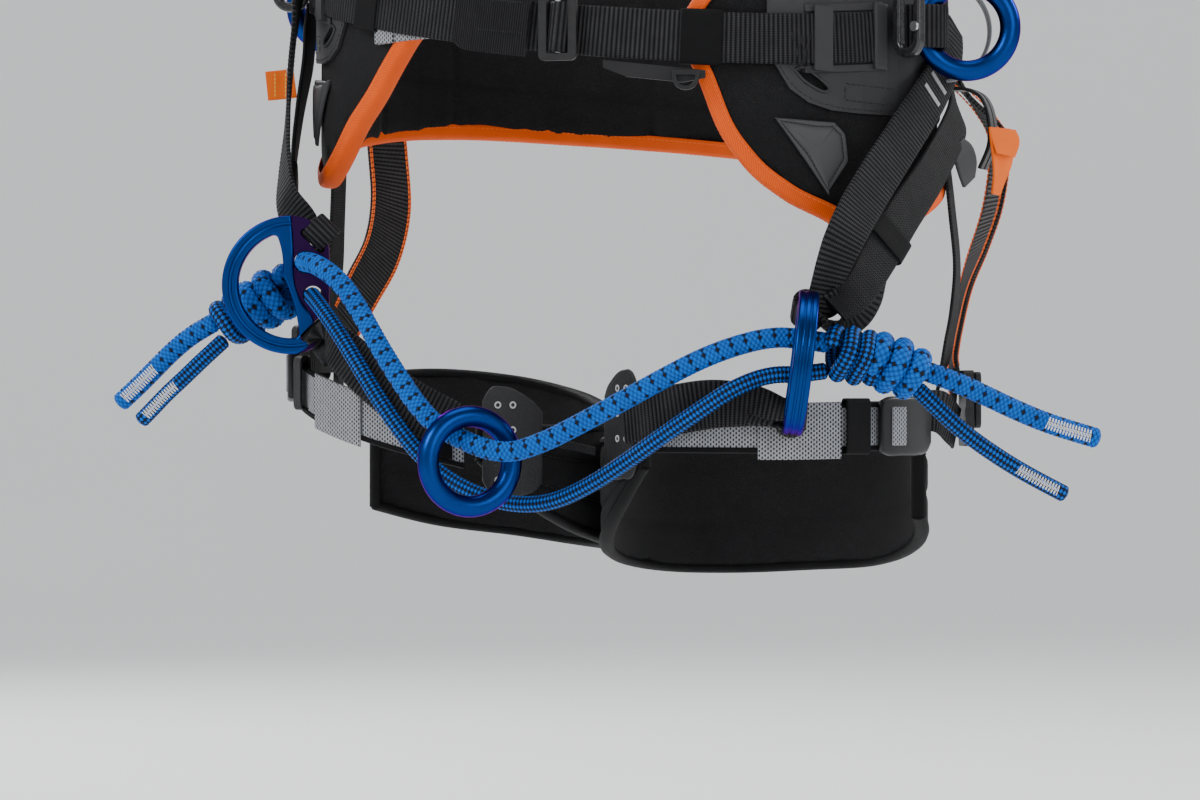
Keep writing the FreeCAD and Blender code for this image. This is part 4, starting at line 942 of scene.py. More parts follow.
PAD_LEFT_HIP = [(24, -4, 14), (27, -22, 30), (30, -46, 40), (35, -68, 50), (43, -86, 60), (52, -96, 66),
                (62, -106, 70), (72, -101, 73), (84, -88, 75), (100, -76, 77), (125, -68, 79), (150, -64, 80),
                (180, -62, 80)]
PAD_RIGHT_HIP = [(205, -64, 80), (230, -68, 79), (252, -76, 78), (268, -86, 76), (280, -100, 74),
                 (290, -108, 71), (299, -102, 68), (306, -90, 64), (313, -71, 58), (320, -52, 50),
                 (326, -30, 42), (331, -12, 30), (336, -2, 14)]
PAD_OUTLINE = PAD_LEFT_HIP + PAD_RIGHT_HIP


CLOTH_PRESSURE, CLOTH_FRAMES, CLOTH_CAP = 4.0, 20, 0.005


def evaluated_mesh(thing):
    """A new mesh of an object with its modifiers applied."""
    graph = bpy.context.evaluated_depsgraph_get()
    return bpy.data.meshes.new_from_object(thing.evaluated_get(graph))


def coordinates(mesh):
    flat = np.zeros(len(mesh.vertices) * 3)
    mesh.vertices.foreach_get("co", flat)
    return flat.reshape(-1, 3)


def inflated(piece, voxel):
    """Swell a closed pad with cloth pressure, cap how far any point moves, and smooth it."""
    bpy.context.view_layer.objects.active = piece
    remesh = piece.modifiers.new("voxels", "REMESH")
    remesh.mode = "VOXEL"
    remesh.voxel_size = voxel
    remesh.use_smooth_shade = True
    mesh = evaluated_mesh(piece)
    piece.modifiers.clear()
    kept = list(piece.data.materials)
    piece.data = mesh
    mesh.materials.clear()
    for material in kept:
        mesh.materials.append(material)
    before = coordinates(mesh)
    cloth = piece.modifiers.new("cloth", "CLOTH")
    cloth.settings.use_pressure = True
    cloth.settings.uniform_pressure_force = CLOTH_PRESSURE
    cloth.settings.effector_weights.gravity = 0
    cloth.settings.quality = 5
    cloth.point_cache.frame_start = 1
    cloth.point_cache.frame_end = CLOTH_FRAMES
    for step in range(1, CLOTH_FRAMES + 1):
        bpy.context.scene.frame_set(step)
    swollen = evaluated_mesh(piece)
    move = coordinates(swollen) - before
    piece.modifiers.clear()
    bpy.context.scene.frame_set(1)
    bpy.data.meshes.remove(swollen)
    reach = np.linalg.norm(move, axis=1, keepdims=True)
    move *= np.minimum(1, CLOTH_CAP / np.maximum(reach, 1e-9))
    mesh.vertices.foreach_set("co", (before + move).ravel())
    piece.modifiers.new("smooth", "SUBSURF").levels = 1
    mesh = evaluated_mesh(piece)
    piece.modifiers.clear()
    piece.data = mesh
    mesh.polygons.foreach_set("use_smooth", [True] * len(mesh.polygons))


def write_points(piece, points):
    piece.data.vertices.foreach_set("co", (points * MM).ravel())
    piece.data.update()


def hip_angles(points):
    """For points near the hip, in mm: the angle round it and the distance out from it."""
    angle = np.arctan2(points[:, 0] / (HIP_HALF_WIDTH + 6), -points[:, 1] / (HIP_HALF_DEPTH + 6))
    for _ in range(3):
        foot = np.stack([HIP_HALF_WIDTH * np.sin(angle), -HIP_HALF_DEPTH * np.cos(angle)], 1)
        facing = unit(np.stack([np.sin(angle) / HIP_HALF_WIDTH, -np.cos(angle) / HIP_HALF_DEPTH], 1))
        tangent = np.stack([HIP_HALF_WIDTH * np.cos(angle), HIP_HALF_DEPTH * np.sin(angle)], 1)
        miss = ((points[:, :2] - foot) * tangent).sum(1) / (tangent ** 2).sum(1)
        angle = angle + miss
    out = ((points[:, :2] - foot) * facing).sum(1)
    return angle, out, facing


SEAM_ANGLES = (100, 122, 144, 166, 188, 210, 232, 254)


def make_waist_pad():
    """The padded belt: one swollen pad, sewn into channels across the back."""
    core = [(a, low + 0.6, high - 0.6) for a, low, high in PAD_OUTLINE]
    core[0] = (core[0][0] + 0.2, -2, 12)
    core[-1] = (core[-1][0] - 0.2, -1, 13)
    rings, _ = band_rings(hip_point, core, 1.4, 9.4, step=2.0, rows=24, corner=2.0)
    pad = skin("belt_pad", rings * MM, "pad_cloth", "black_mesh")
    inflated(pad, 0.0042)
    points = coordinates(pad.data) / MM
    angle, out, facing = hip_angles(points)
    degrees = np.degrees(angle) % 360
    level = points[:, 2] + SIDE_TILT * points[:, 0]
    crease = np.zeros(len(points))
    for seam in SEAM_ANGLES:
        crease = np.maximum(crease, np.exp(-((degrees - seam) * 3.1 / 3.2) ** 2))
    for height in (-34, 52):
        back = ((degrees > 92) & (degrees < 262)).astype(float)
        crease = np.maximum(crease, back * np.exp(-((level - height) / 3.2) ** 2))
    pull = np.clip(out - 3.6, -2.4, 8) * 0.72 * crease
    limit = np.minimum(out, 10.6) - out
    points[:, :2] += facing * (limit - pull)[:, None]
    write_points(pad, points)
    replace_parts(pad, "waist_pad")
    rows = []
    for seam in SEAM_ANGLES:
        low, high = edge_at(PAD_OUTLINE, 1)(seam) + 12, edge_at(PAD_OUTLINE, 2)(seam) - 12
        rows.append(hip_line([seam] * 8, np.linspace(low, high, 8), [6.6] * 8))
    stitches("belt_pad_seams", rows, "black_thread", "black_webbing", length=2.6, gap=1.2)


def pad_loop():
    """The pad's whole edge as a closed line of angle and height."""
    low, high = edge_at(PAD_OUTLINE, 1), edge_at(PAD_OUTLINE, 2)
    angles = np.linspace(24, 336, 300)
    top = [(a, high(a)) for a in angles]
    bottom = [(a, low(a)) for a in angles[::-1]]
    right = [(336 + 1.1 * math.sin(t), 6 + 8 * math.cos(t)) for t in np.linspace(0.4, math.pi - 0.4, 7)]
    left = [(24 - 1.1 * math.sin(t), 5 - 9 * math.cos(t)) for t in np.linspace(0.4, math.pi - 0.4, 7)]
    return top + right + bottom + left


def make_binding():
    """The orange twill tape folded over the pad's whole edge, with its stitching."""
    loop = np.array([hip_point(a, h, 5.5) for a, h in pad_loop()])
    angles = np.array([a for a, _ in pad_loop()])
    closed = np.concatenate([loop, loop[:1]])
    lengths = run_lengths(closed)
    wanted = np.arange(0, lengths[-1], 1.5)
    line = at_lengths(closed, lengths, wanted)
    facing = np.array([hip_facing(np.interp(s, lengths, np.append(angles, angles[0]))) for s in wanted])
    tangent = unit(np.roll(line, -1, 0) - np.roll(line, 1, 0))
    for _ in range(3):
        tangent = unit(np.roll(tangent, -1, 0) + tangent * 2 + np.roll(tangent, 1, 0))
    inward = unit(np.cross(tangent, facing))
    outline = [(8.6, 6.0), (8.2, 6.5), (5, 6.9), (1.5, 6.3), (-0.2, 4.6), (-0.9, 2.4), (-1.1, 0),
               (-0.9, -2.4), (-0.2, -4.6), (1.5, -6.3), (5, -6.7), (8.2, -6.4), (8.6, -5.8), (5, -4.4),
               (2.5, -3), (2.0, 0), (2.5, 3), (5, 4.4)]
    section = smooth_line(np.array([(x, y, 0) for x, y in outline + outline[:1]], float), 0.7)[:-1]
    pucker = 0.25 * np.sin(wanted / 2.9 * 2 * np.pi)
    rings, uvs = [], []
    for index in range(len(line)):
        swell = np.where(section[:, 0] < 6, pucker[index], 0)
        rings.append(line[index] + np.outer(section[:, 0] - swell * 0.4, inward[index])
                     + np.outer(section[:, 1] * (1 + swell * 0.03), facing[index]))
        uvs.append(np.column_stack([np.full(len(section), wanted[index]), run_lengths(section)]))
    tape = closed_skin("belt_binding", np.array(rings) * MM, "twill", "orange_twill", uvs=uvs)
    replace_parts(tape, "waist_binding")
    seam = (line + inward * 6.6 + facing * 6.75, facing)
    hidden = (line + inward * 6.6 - facing * 6.6, -facing)
    stitches("binding_stitches", [seam, hidden], "orange_thread", "orange_twill", length=2.3, gap=0.8,
             radius=0.3, lift=0.05)


def belt_keeper(name, start, end, wide, deep_in, deep_out):
    middle = (start + end) / 2
    centre = hip_point(middle, belt_rise(middle), (deep_in + deep_out) / 2)
    along = hip_point(end, belt_rise(end), 15) - hip_point(start, belt_rise(start), 15)
    return keeper(name, centre, along, hip_facing(middle), float(np.linalg.norm(along)), wide,
                  deep_out - deep_in, 1.3)


def make_belt():
    """The belt's webbing, the front panel, the mesh tab, the keepers and the buckle's webbing."""
    middle = (BELT_IN + BELT_OUT) / 2
    # Both halves dip under the buckle's own webbing, which slides over them with the bar.
    for side, near, far in (("left", [4.0, 5.2, 6.4, 7.8, 9.6, 12.0], 63.5),
                            ("right", [1.2, 0.2, -1.0, -2.4, -4.2, -6.4], -72)):
        angles = near + list(np.linspace(near[-1], far, 9)[1:])
        outs = [12.0, 12.0, 12.3, 13.6, 14.8] + [middle] * 9
        points, facings = hip_line(angles, [belt_rise(angle) for angle in angles], outs)
        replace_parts(strap("belt_front_" + side, points, facings, BELT_WIDTH), "belt_webbing_" + side)
    angles = np.linspace(92, 238, 24)
    points, facings = hip_line(angles, [belt_rise(a) for a in angles], [(PLATE_IN + PLATE_OUT) / 2] * 24)
    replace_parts(strap("belt_rear", points, facings, BELT_WIDTH, 2.4), "belt_webbing_rear")
    angles = [-17.4, -17.2, -16.8, -16.1, -15.0, -13.0, -10.0, -6.5, -3.2]
    points, facings = hip_line(angles, [belt_rise(a) + 4 for a in angles], [COVER_IN + 1.25] * len(angles))
    panel = strap("front_panel_cover", points, facings, [30, 35, 39, 42.5, 45, 46, 46, 46, 46], 2.4,
                  material="panel_cloth", rib=1.5, rib_height=0.16, step=0.3)
    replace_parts(panel, "front_panel")
    tab = band("grey_tab", hip_point, [(-38, -19, 6), (-30, -15, 8), (-20, -11, 13), (-10, -7, 16)],
               PLATE_IN, PLATE_OUT, "grey_mesh", "grey_mesh", step=0.5)
    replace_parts(tab, "grey_liner_tab")
    band("grey_tab_fold", hip_point, [(-38.3, -18.6, 5), (-36, -18.2, 5.6), (-33.2, -17, 6)],
         PLATE_OUT - 0.4, PLATE_OUT + 1.4, "grey_mesh", "grey_mesh", step=0.4)
    for label, start, end in (("left", 23.5, 31), ("right", -43, -36.5)):
        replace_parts(belt_keeper("belt_keeper_" + label, start, end, 30.4, 13.5, 16.7), "belt_keepers")
    angles, outs = [4.5, 4.1, 3.4, 2.4, 1.3, 0.6, -0.2], [15.2, 16.8, 20.2, 22.3, 20.0, 16.6, 15.4]
    points, facings = hip_line(angles, [0.6] * 7, outs)
    tangents = directions(points)
    facings = np.cross(np.cross(tangents, facings), tangents)
    strap("buckle_webbing", points, facings, 30, 2.2, body="waist_buckle_bar", step=0.4)
    lines = []
    for angle in (46, 47.6):
        for share in (-1, 1):
            start = hip_point(angle - 2.0, -11 * share, BELT_OUT + 0.5)
            end = hip_point(angle + 0.4, 11 * share, BELT_OUT + 0.5)
            tack(lines, start, end, hip_facing(angle), threads=24, wide=1.4)
    for angle in (95.5, 98.5, 231.5, 234.5):
        start, end = (hip_point(angle, belt_rise(angle) + side, PLATE_OUT + 0.6) for side in (-12.5, 12.5))
        tack(lines, start, end, hip_facing(angle), threads=26, wide=2.2)
    for height in (13, -5):
        start, end = (hip_point(angle, height, COVER_IN + 3.0) for angle in (-12.5, -4.5))
        tack(lines, start, end, hip_facing(-8.5), threads=20, wide=1.2)
    merged("belt_tacks", lines, "black_thread", "black_webbing")


# ---------------------------------------------------------------- hips

def surface_patch(name, angle, height, corners, layers, material, slot, out):
    """A low moulded patch: its outline shrinks by each layer's inset and rises to each layer's height."""
    points = smooth_line(rounded_outline(corners, 2.4), 0.9)[:-1]
    centre = points.mean(0)
    inward = unit(centre - points)
    last_inset, last_rise = layers[-1]
    steps = [(inset, rise, 0.0) for inset, rise in layers]
    steps += [(last_inset, last_rise + 0.35 * share, share) for share in (0.3, 0.6, 0.85)]
    rings = []
    for inset, rise, share in steps:
        moved = points + inward * inset
        moved += (centre - moved) * share
        rings.append([hip_point(hip_angle_at(angle, x), height + y, out + rise) for x, y, _ in moved])
    return skin(name, np.array(rings) * MM, material, slot)


def rounded_outline(corners, radius):
    """A closed outline with two points beside each corner."""
    corners = [np.array([x, y, 0.0]) for x, y in corners]
    made = []
    for before, corner, after in zip(corners[-1:] + corners[:-1], corners, corners[1:] + corners[:1]):
        made.append(corner + unit(before - corner) * radius)
        made.append(corner + (unit(before - corner) + unit(after - corner)) * radius * 0.22)
        made.append(corner + unit(after - corner) * radius)
    return np.array(made + made[:1])


PATCH_CORNERS = [(-22, 17), (15, 18), (22, 12), (24, -4), (10, -24)]
PATCH_LAYERS = [(0.3, -1.4), (0.0, -0.6), (0.4, 0.5), (1.2, 1.0), (2.6, 1.1), (3.0, 0.5), (3.5, 0.5),
                (4.0, 1.0), (5.4, 1.9), (6.2, 2.1)]


def make_rubber_patches():
    """The bevelled rubber patches, each with a sewn groove round a raised field."""
    for label, angle, height, sign in (("left", 48.5, -57, 1), ("right", -66, -60, -1)):
        corners = [(sign * x, y) for x, y in PATCH_CORNERS]
        if sign < 0:
            corners = corners[::-1]
        patch = surface_patch("hip_patch_" + label, angle, height, corners, PATCH_LAYERS, "rubber",
                              "grey_rubber", 13.6)
        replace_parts(patch, "rubber_patch_" + label)
        outline = smooth_line(rounded_outline(corners, 2.4), 0.9)[:-1]
        centre = outline.mean(0)
        inner = outline + unit(centre - outline) * 3.25
        points = np.array([hip_point(hip_angle_at(angle, x), height + y, 14.3) for x, y, _ in inner])
        normals = np.tile(hip_facing(angle), (len(points), 1))
        stitches("hip_patch_stitches_" + label, [(points, normals)], "black_thread", "grey_rubber",
                 length=1.9, gap=0.9, radius=0.24, lift=0.05)


PLATE_EDGE = [(39.8, 8, 32), (42, -9, 44), (45, -20.5, 49.5), (49, -27, 54), (54, -29.6, 55.8),
              (60, -29.8, 55.8), (67, -28.8, 55.8), (75, -26.8, 54), (82, -20, 48)]


def make_side_plates():
    """Sewing and raised lips on the moulded hip plates."""
    rows, dark = [], []
    for sign, shift in ((1, 0), (-1, -9)):
        angles = [sign * a + shift for a, _, _ in PLATE_EDGE]
        lows, highs = [low for _, low, _ in PLATE_EDGE], [high for _, _, high in PLATE_EDGE]
        rows.append(hip_line(angles, lows, [PLATE_OUT] * len(angles)))
        rows.append(hip_line(angles, highs, [PLATE_OUT] * len(angles)))
        for tall in (0, 7):
            spots = [sign * a + shift for a in (56, 61, 66, 72)]
            dark.append(hip_line(spots, [-25 + tall * 1.4] * 4, [PLATE_OUT] * 4))
        dark.append(hip_line([sign * 56 + shift] * 3, (-25, -20, -15.2), [PLATE_OUT] * 3))
        lip = [(45, -10.5), (46.6, -15.5), (48.6, -19), (51, -21.5), (52.4, -19.5), (51, -15.5),
               (48.5, -10.8), (46.6, -8.4)]
        points = np.array([hip_point(sign * a + shift, h, PLATE_OUT + 0.3) for a, h in lip + lip[:1]])
        ring = smooth_line(points, 0.8)
        _, first, second = carried_frames(ring)
        rings = [centre + oval(circle(8), a, b) * 0.95 for centre, a, b in zip(ring[:-1], first, second)]
        side = "left" if sign > 0 else "right"
        ends = sorted((sign * 62.6 + shift, sign * 65.8 + shift))
        middle = belt_rise(sum(ends) / 2)
        band("window_end_" + side, hip_point,
             [(a, middle - 20, middle + 20) for a in (ends[0], sum(ends) / 2, ends[1])],
             PLATE_OUT - 0.2, COVER_IN + 1.0, "plate", "black_plastic", step=0.4, corner=1.2)
        for low, high in ((-20.5, -15.6), (15.6, 20.5)):
            rail = sorted((sign * 47 + shift, sign * 65 + shift))
            angles = np.linspace(rail[0], rail[1], 5)
            band("window_rail_%s_%s" % ("low" if low < 0 else "high", side), hip_point,
                 [(a, belt_rise(a) + low, belt_rise(a) + high) for a in angles], PLATE_OUT - 0.2,
                 PLATE_OUT + 1.5, "plate", "black_plastic", step=0.8, corner=0.9)
        closed_skin("teardrop_lip_" + side, np.array(rings) * MM, "plate", "black_plastic")
    stitches("plate_edge_stitches", rows, "black_thread", "black_plastic", length=2.4, gap=1.3)
    stitches("plate_tack_stitches", dark, "black_thread", "black_plastic", length=3.0, gap=1.1, radius=0.34)


def make_ring_loops():
    """The webbing loops that hold the side rings."""
    for side, angle, height, width in (("left", 75, 24, 26), ("right", -112, 12, 26)):
        hinge, normal = hip_point(angle, height, 22), hip_facing(angle)
        along = np.cross((0, 0, 1), normal)
        radius, thick = 13.7, 2.4
        foot = 22 - BELT_OUT - thick / 2 - 0.4
        route = [hinge - along * (radius + 8) - normal * foot, hinge - along * (radius + 3) - normal * foot]
        facings = [normal, unit(normal - along * 0.6)]
        for turn in range(-72, 73, 24):
            direction = normal * math.cos(math.radians(turn)) + along * math.sin(math.radians(turn))
            route.append(hinge + direction * radius)
            facings.append(direction)
        route += [hinge + along * (radius + 3) - normal * foot, hinge + along * (radius + 8) - normal * foot]
        facings += [unit(normal + along * 0.6), normal]
        loop = strap("ring_webbing_" + side, route, facings, width, thick)
        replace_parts(loop, "ring_loop_" + side)
        lines = []
        for way in (-1, 1):
            base = hinge + along * way * (radius + 5) - normal * (foot - 1.6)
            tack(lines, base - (0, 0, 11), base + (0, 0, 11), normal, threads=16, wide=2.4)
        merged("ring_tacks_" + side, lines, "black_thread", "black_webbing")


# Each hip strap's route and facings, and the widths along a front or a rear one.
FRONT_WIDTHS, REAR_WIDTHS = [27, 27, 27, 27, 24, 19], [25, 25, 25, 25, 22, 18]
HIP_STRAPS = {
    "hip_strap_front_left": ([(206, 1, -13), (205, -31, -36), (196, -68, -68), (187, -101, -98),
                              (179, -131, -130), (170.8, -144.2, -152)],
                             [(1, -0.3, 0.1), (1, -0.5, 0.1), (0.9, -0.7, 0.1), (0.8, -0.8, 0.1),
                              (0.7, -0.9, 0.1), (0.6, -1, 0.1)]),
    "hip_strap_rear_left": ([(207, 14, -52), (205, -32, -84), (198, -70, -112), (192, -98, -136),
                             (185, -118, -157), (174, -128, -168.5)],
                            [(1, -0.3, 0.1), (1, -0.5, 0.1), (0.9, -0.7, 0.1), (0.9, -0.8, 0.1),
                             (0.9, -0.7, 0.2), (0.6, -0.6, 0.5)]),
    "hip_strap_front_right": ([(-200, -58, 10), (-200, -64, -16), (-199, -71, -48), (-196, -82, -76),
                               (-188, -95, -100), (-175.5, -102.5, -118)],
                              [(-1, -0.4, 0), (-1, -0.4, 0), (-1, -0.5, 0), (-0.9, -0.7, 0),
                               (-0.5, -0.9, 0), (0.1, -1, 0)]),
    "hip_strap_rear_right": ([(-205, -26, -10), (-206, -36, -40), (-204, -50, -72), (-198, -66, -98),
                              (-186, -84, -116), (-172, -96, -122)],
                             [(-1, -0.2, 0), (-1, -0.3, 0), (-1, -0.4, 0), (-0.9, -0.6, 0.1),
                              (-0.7, -0.7, 0.3), (-0.4, -0.7, 0.5)]),
}


# At each D plate's slot: the slot's centre, the plate's normal on the side that the strap comes from,
# the way out to the plate's edge, and the direction of the strap's width there.
SLOTS = {
    "upper_left": ((156.4, -131.0, -172.7), (0.933, 0.340, -0.119), (-0.16, 0.70, 0.70),
                   (0.32, -0.635, 0.70)),
    "upper_right": ((-165.8, -108.2, -123.8), (-0.342, 0.940, 0.0), (0.664, 0.242, 0.707),
                    (-0.664, -0.242, 0.707)),
    "lower_left": ((150.4, -133.2, -226.3), (-0.933, -0.340, 0.119), (-0.32, 0.635, -0.70),
                   (-0.16, 0.70, 0.70)),
    "lower_right": ((-165.8, -108.2, -177.8), (0.342, -0.940, 0.0), (0.664, 0.242, -0.707),
                    (0.664, 0.242, 0.707)),
}


def through_slot(label, tail):
    """The way through a slot and back round the plate's edge, then the tail's points, with facings."""
    slot, normal, outward, slot_line = (np.array(item) for item in SLOTS[label])
    route = np.array([slot + normal * lift + outward * reach for lift, reach in
                      ((5.6, 1.5), (2.0, -0.5), (-2.4, -0.3), (-6.2, 3.0), (-6.6, 9.0), (-3.0, 14.0),
                       (3.0, 14.5), (7.6, 11.0))] + [np.array(point, float) for point in tail])
    tangents = directions(route)
    return route, np.cross(slot_line, tangents)


HIP_TAILS = {"left": [(168, -124, -166), (176, -121, -160)],
             "right": [(-172.5, -95, -119), (-181, -88, -113)]}
# The folded end of each rear hip strap, which hangs below its keeper and turns to the D plate.
FOLDS = {
    "hip_strap_rear_left": ([(189, -108, -150), (187, -109, -162), (181, -112, -173), (172, -117, -178),
                             (165, -122, -175), (160, -127, -169)],
                            [(0.9, -0.6, 0), (0.9, -0.5, -0.2), (0.7, -0.5, -0.6), (0.1, -0.4, -1),
                             (-0.4, -0.3, -0.8), (-0.6, -0.2, -0.6)]),
    "hip_strap_rear_right": ([(-194, -72, -112), (-189, -76, -122), (-182, -82, -131), (-175, -88, -134),
                              (-170, -93, -131), (-168, -97, -126)],
                             [(-0.9, -0.6, 0), (-0.8, -0.5, -0.3), (-0.5, -0.5, -0.7), (0, -0.4, -1),
                              (0.4, -0.3, -0.8), (0.6, -0.2, -0.6)]),
}

# The sewn top of each hip strap, on the belt or under the gear clip's base, and its facing.
STRAP_ROOTS = {
    "hip_strap_front_left": ([(206.2, 12, 6)], (1, -0.1, 0)),
    "hip_strap_rear_left": ([(199, 36, -36)], (1, 0.1, 0.1)),
    "hip_strap_front_right": ([(-201.5, -30, 50), (-204, -40, 38), (-202.5, -50, 24)], (-1, -0.3, 0)),
    "hip_strap_rear_right": ([(-205.5, -16, 26), (-206, -20, 10)], (-1, -0.15, 0)),
}


def make_hip_straps():
    """The four straps from the hips to the D plates, their keepers, folded ends and tacks."""
    white = []
    for label, (route, facings) in HIP_STRAPS.items():
        rear = "rear" in label
        widths = REAR_WIDTHS if rear else FRONT_WIDTHS
        roots, root_facing = STRAP_ROOTS[label]
        points, looks = roots + route, [root_facing] * len(roots) + facings
        whole = (points, looks, widths[:1] * len(roots) + widths)
        if not rear:
            side = label.split("_")[-1]
            ways, slot_looks = through_slot("upper_" + side, HIP_TAILS[side])
            whole = (points[:-1] + list(ways), list(unit(looks[:-1])) + list(slot_looks),
                     whole[2][:-1] + [18] + [16.5] * 7 + [18, 20])
        piece = strap("webbing_" + label, *whole, 2.4, material="checker" if rear else "webbing",
                      rib=2.2 if rear else RIB, rib_height=0.16 if rear else 0.32)
        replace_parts(piece, label)
        if rear:
            a, b = np.array(route[2], float), np.array(route[3], float)
            look = unit(facings[2])
            loop = keeper("keeper_" + label, a + (b - a) * 0.58, b - a, look, 17, 26.4, 3.6, 1.4)
            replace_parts(loop, "hip_keepers")
            fold_route, fold_facings = FOLDS[label]
            strap("fold_" + label, fold_route, fold_facings, [25, 25, 24, 22, 19, 17], 2.4, rib_height=0.3)
        else:
            for share in (0.15, 0.21) if "left" in label else (0.2,):
                spot = route_at(route, share)
                ahead = route_at(route, share + 0.03) - spot
                look = unit(facings[1])
                side = unit(np.cross(ahead, look)) * 8
                tack(white, spot - side + look * 1.8, spot + side + look * 1.8, look, threads=26, wide=3.0)
    merged("white_bar_tacks", white, "grey_thread", "black_webbing")


REAR_STRAP = [(190, 76, -26), (203, 98, -44), (209, 106, -62), (205, 106, -98), (198, 94, -130),
              (195, 72, -158), (198, 46, -182), (202, 25, -203), (206, 16, -212)]
REAR_FACINGS = [(0.9, 0.6, 0.3), (0.8, 0.6, 0.3), (0.8, 0.6, 0), (0.8, 0.6, -0.2), (0.8, 0.6, -0.3),
                (0.9, 0.5, -0.3), (0.9, 0.4, -0.2), (0.9, 0.3, -0.1), (0.93, 0.37, 0)]
SIDE_RISER = [(199.5, 20, -80), (202.5, 20, -106), (205, 22, -140), (204, 16, -172), (204, 3, -192)]
SIDE_STRAP = [(208.5, -29, -228), (210.5, -21, -231), (211.5, -12, -235), (211, -1, -238)]
# Where the left rear strap is sewn on behind the hip, and the tab that holds the right one behind its ring.
REAR_ROOT = [(168, 72, -19), (180, 73, -20)]
REAR_TAB = [(-154, 92, 17), (-170, 91, 15), (-184, 88.5, 12), (-195, 86, 8.5)]
# The sewn lower end of each riser, on the leg pad.
RISER_ENDS = {"left": [(200, -3, -215), (197.5, -5, -238)], "right": [(-197, 13, -185), (-184.5, 22, -222)]}


def on_side(sign, points):
    if sign > 0:
        return np.array(points, float)
    return np.array([(-x, y, 1.07 * z + 45) for x, y, z in points], float)


def make_rear_straps():
    """The rear leg straps with orange edges, the side risers and the side straps."""
    for side, sign in (("left", 1), ("right", -1)):
        facings = unit([(sign * x, y, z) for x, y, z in REAR_FACINGS])
        route = on_side(sign, REAR_STRAP)
        if side == "left":
            route = np.vstack([REAR_ROOT, route])
            facings = np.vstack([unit([(0.1, 0, 1), (0.3, 0.1, 0.9)]), facings])
        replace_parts(strap("rear_webbing_" + side, route, facings, 30, 2.6, slot="orange_twill"),
                    "rear_strap_" + side)
        across = unit(np.cross(directions(route), facings))
        rows = []
        for way in (-1, 1):
            for inset in (1.1, 2.3):
                for face in (1, -1):
                    rows.append((route + across * way * (15 - inset) + facings * face * 1.55, facings * face))
        stitches("rear_edge_stitches_" + side, rows, "orange_thread", "orange_twill", length=3.0, gap=0.5,
                 radius=0.45, lift=0.0)
        riser = np.vstack([on_side(sign, SIDE_RISER), RISER_ENDS[side]])
        outward = unit([(sign, 0.1, 0)] * 5 + [(sign, 0.3, 0)] * 2)
        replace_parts(strap("riser_" + side, riser, outward, 18, 2.0, material="checker",
                          rib=2.2, rib_height=0.14), "side_risers")
        link = on_side(sign, [(198.6, -44, -226), (203, -36, -227)] + SIDE_STRAP)
        outward = unit([(sign, -0.1, 0)] * 2 + [(sign * 0.9, -0.4, 0)] * 4)
        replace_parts(strap("side_link_" + side, link, outward, [20, 24] + [26] * 4, 2.0), "leg_side_straps")
    strap("rear_root_right", REAR_TAB, [(0, 0.1, 1)] * 4, 22, 2.4)


# Each ring guard's centre, the part of the circle that it follows, and its foot on the pad, if it has one.
RING_GUARDS = {
    "left": ((202.1, -8.8, 1.75), range(-100, 101, 20), []),
    "right": ((-213.8, 83, 33.25), range(130, 9, -15), [(-170, 95, 44), (-180, 93, 47), (-188, 91.5, 52)]),
}


def make_ring_guards():
    """The curved plastic band behind each side ring, from its root on the waist pad."""
    for side, sign in (("left", 1), ("right", -1)):
        centre, turns, foot = RING_GUARDS[side]
        looks = list(oval(np.radians(list(turns)), ACROSS * sign, UP))
        route = foot + [np.array(centre) + look * 31 for look in looks]
        looks = [looks[0]] * len(foot) + looks
        widths = [14] * (len(route) - 1) + [14 if side == "left" else 10]
        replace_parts(strap("ring_guard_" + side, route, looks, widths, 2.0, material="guard_grey",
                          slot="black_plastic", rib=None), "ring_guards")


def make_hip_extras():
    """The gear clip, the pull tabs, and the slotted tab behind the left hip."""
    for y, label in ((40, "front"), (49, "rear")):
        route = [(196, y, -30), (206, y + 2, -30.5), (215, y + 4, -36), (219, y + 6, -48), (219, y + 7, -64),
                 (213, y + 7, -79)]
        clip = strap("gear_clip_" + label, route, [(0, 0, 1), (0.2, 0, 1), (0.7, 0, 0.7)] + [(1, 0, 0)] * 3,
                     7, 2.2, material="dark_plastic", slot="black_plastic", rib=0, step=0.8)
        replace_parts(clip, "gear_clip")
    tab = strap("pull_tab_left", [(224, 51, -54), (225.5, 50.5, -64), (226, 50, -74), (224.5, 49.5, -84),
                                  (222, 49, -95)],
                [(1, -0.3, 0)] * 5, [25, 26, 23, 15, 9], 1.5, material="tab_orange", slot="orange_webbing",
                rib=0)
    fold = strap("pull_tab_left_fold", [(226.2, 50, -55), (228.3, 49, -62), (228.6, 48, -71)],
                 [(1, -0.5, 0.2), (1, -0.6, 0), (1, -0.4, -0.2)], [24, 24, 20], 1.3, material="tab_orange",
                 slot="orange_webbing", rib=0)
    pull = strap("pull_tab_right", [(-209.5, -35, -22), (-217, -38, -23), (-226, -42, -24)],
                 [(0.4, -1, 0)] * 3, 18.5, 1.7, material="tab_orange", slot="orange_webbing", rib=0)
    for piece in (tab, fold, pull):
        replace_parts(piece, "pull_tabs")
    rows = []
    for x in (-214, -220):
        y = -36 - (-x - 209.5) * 0.42
        rows.append(([(x, y - 1.9, -31), (x, y - 1.9, -15)], [(0.4, -1, 0)] * 2))
    stitches("pull_tab_stitches", rows, "yellow_thread", "orange_webbing", length=1.8, gap=0.7, radius=0.3)
    strap("slotted_tab", [(209, 8, -66), (212, 12, -72), (213, 18, -80), (212, 24, -88)],
          [(1, -0.4, 0)] * 4, [14, 20, 20, 13], 2.2, material="plate", slot="black_plastic", rib=0)


# ---------------------------------------------------------------- leg loops

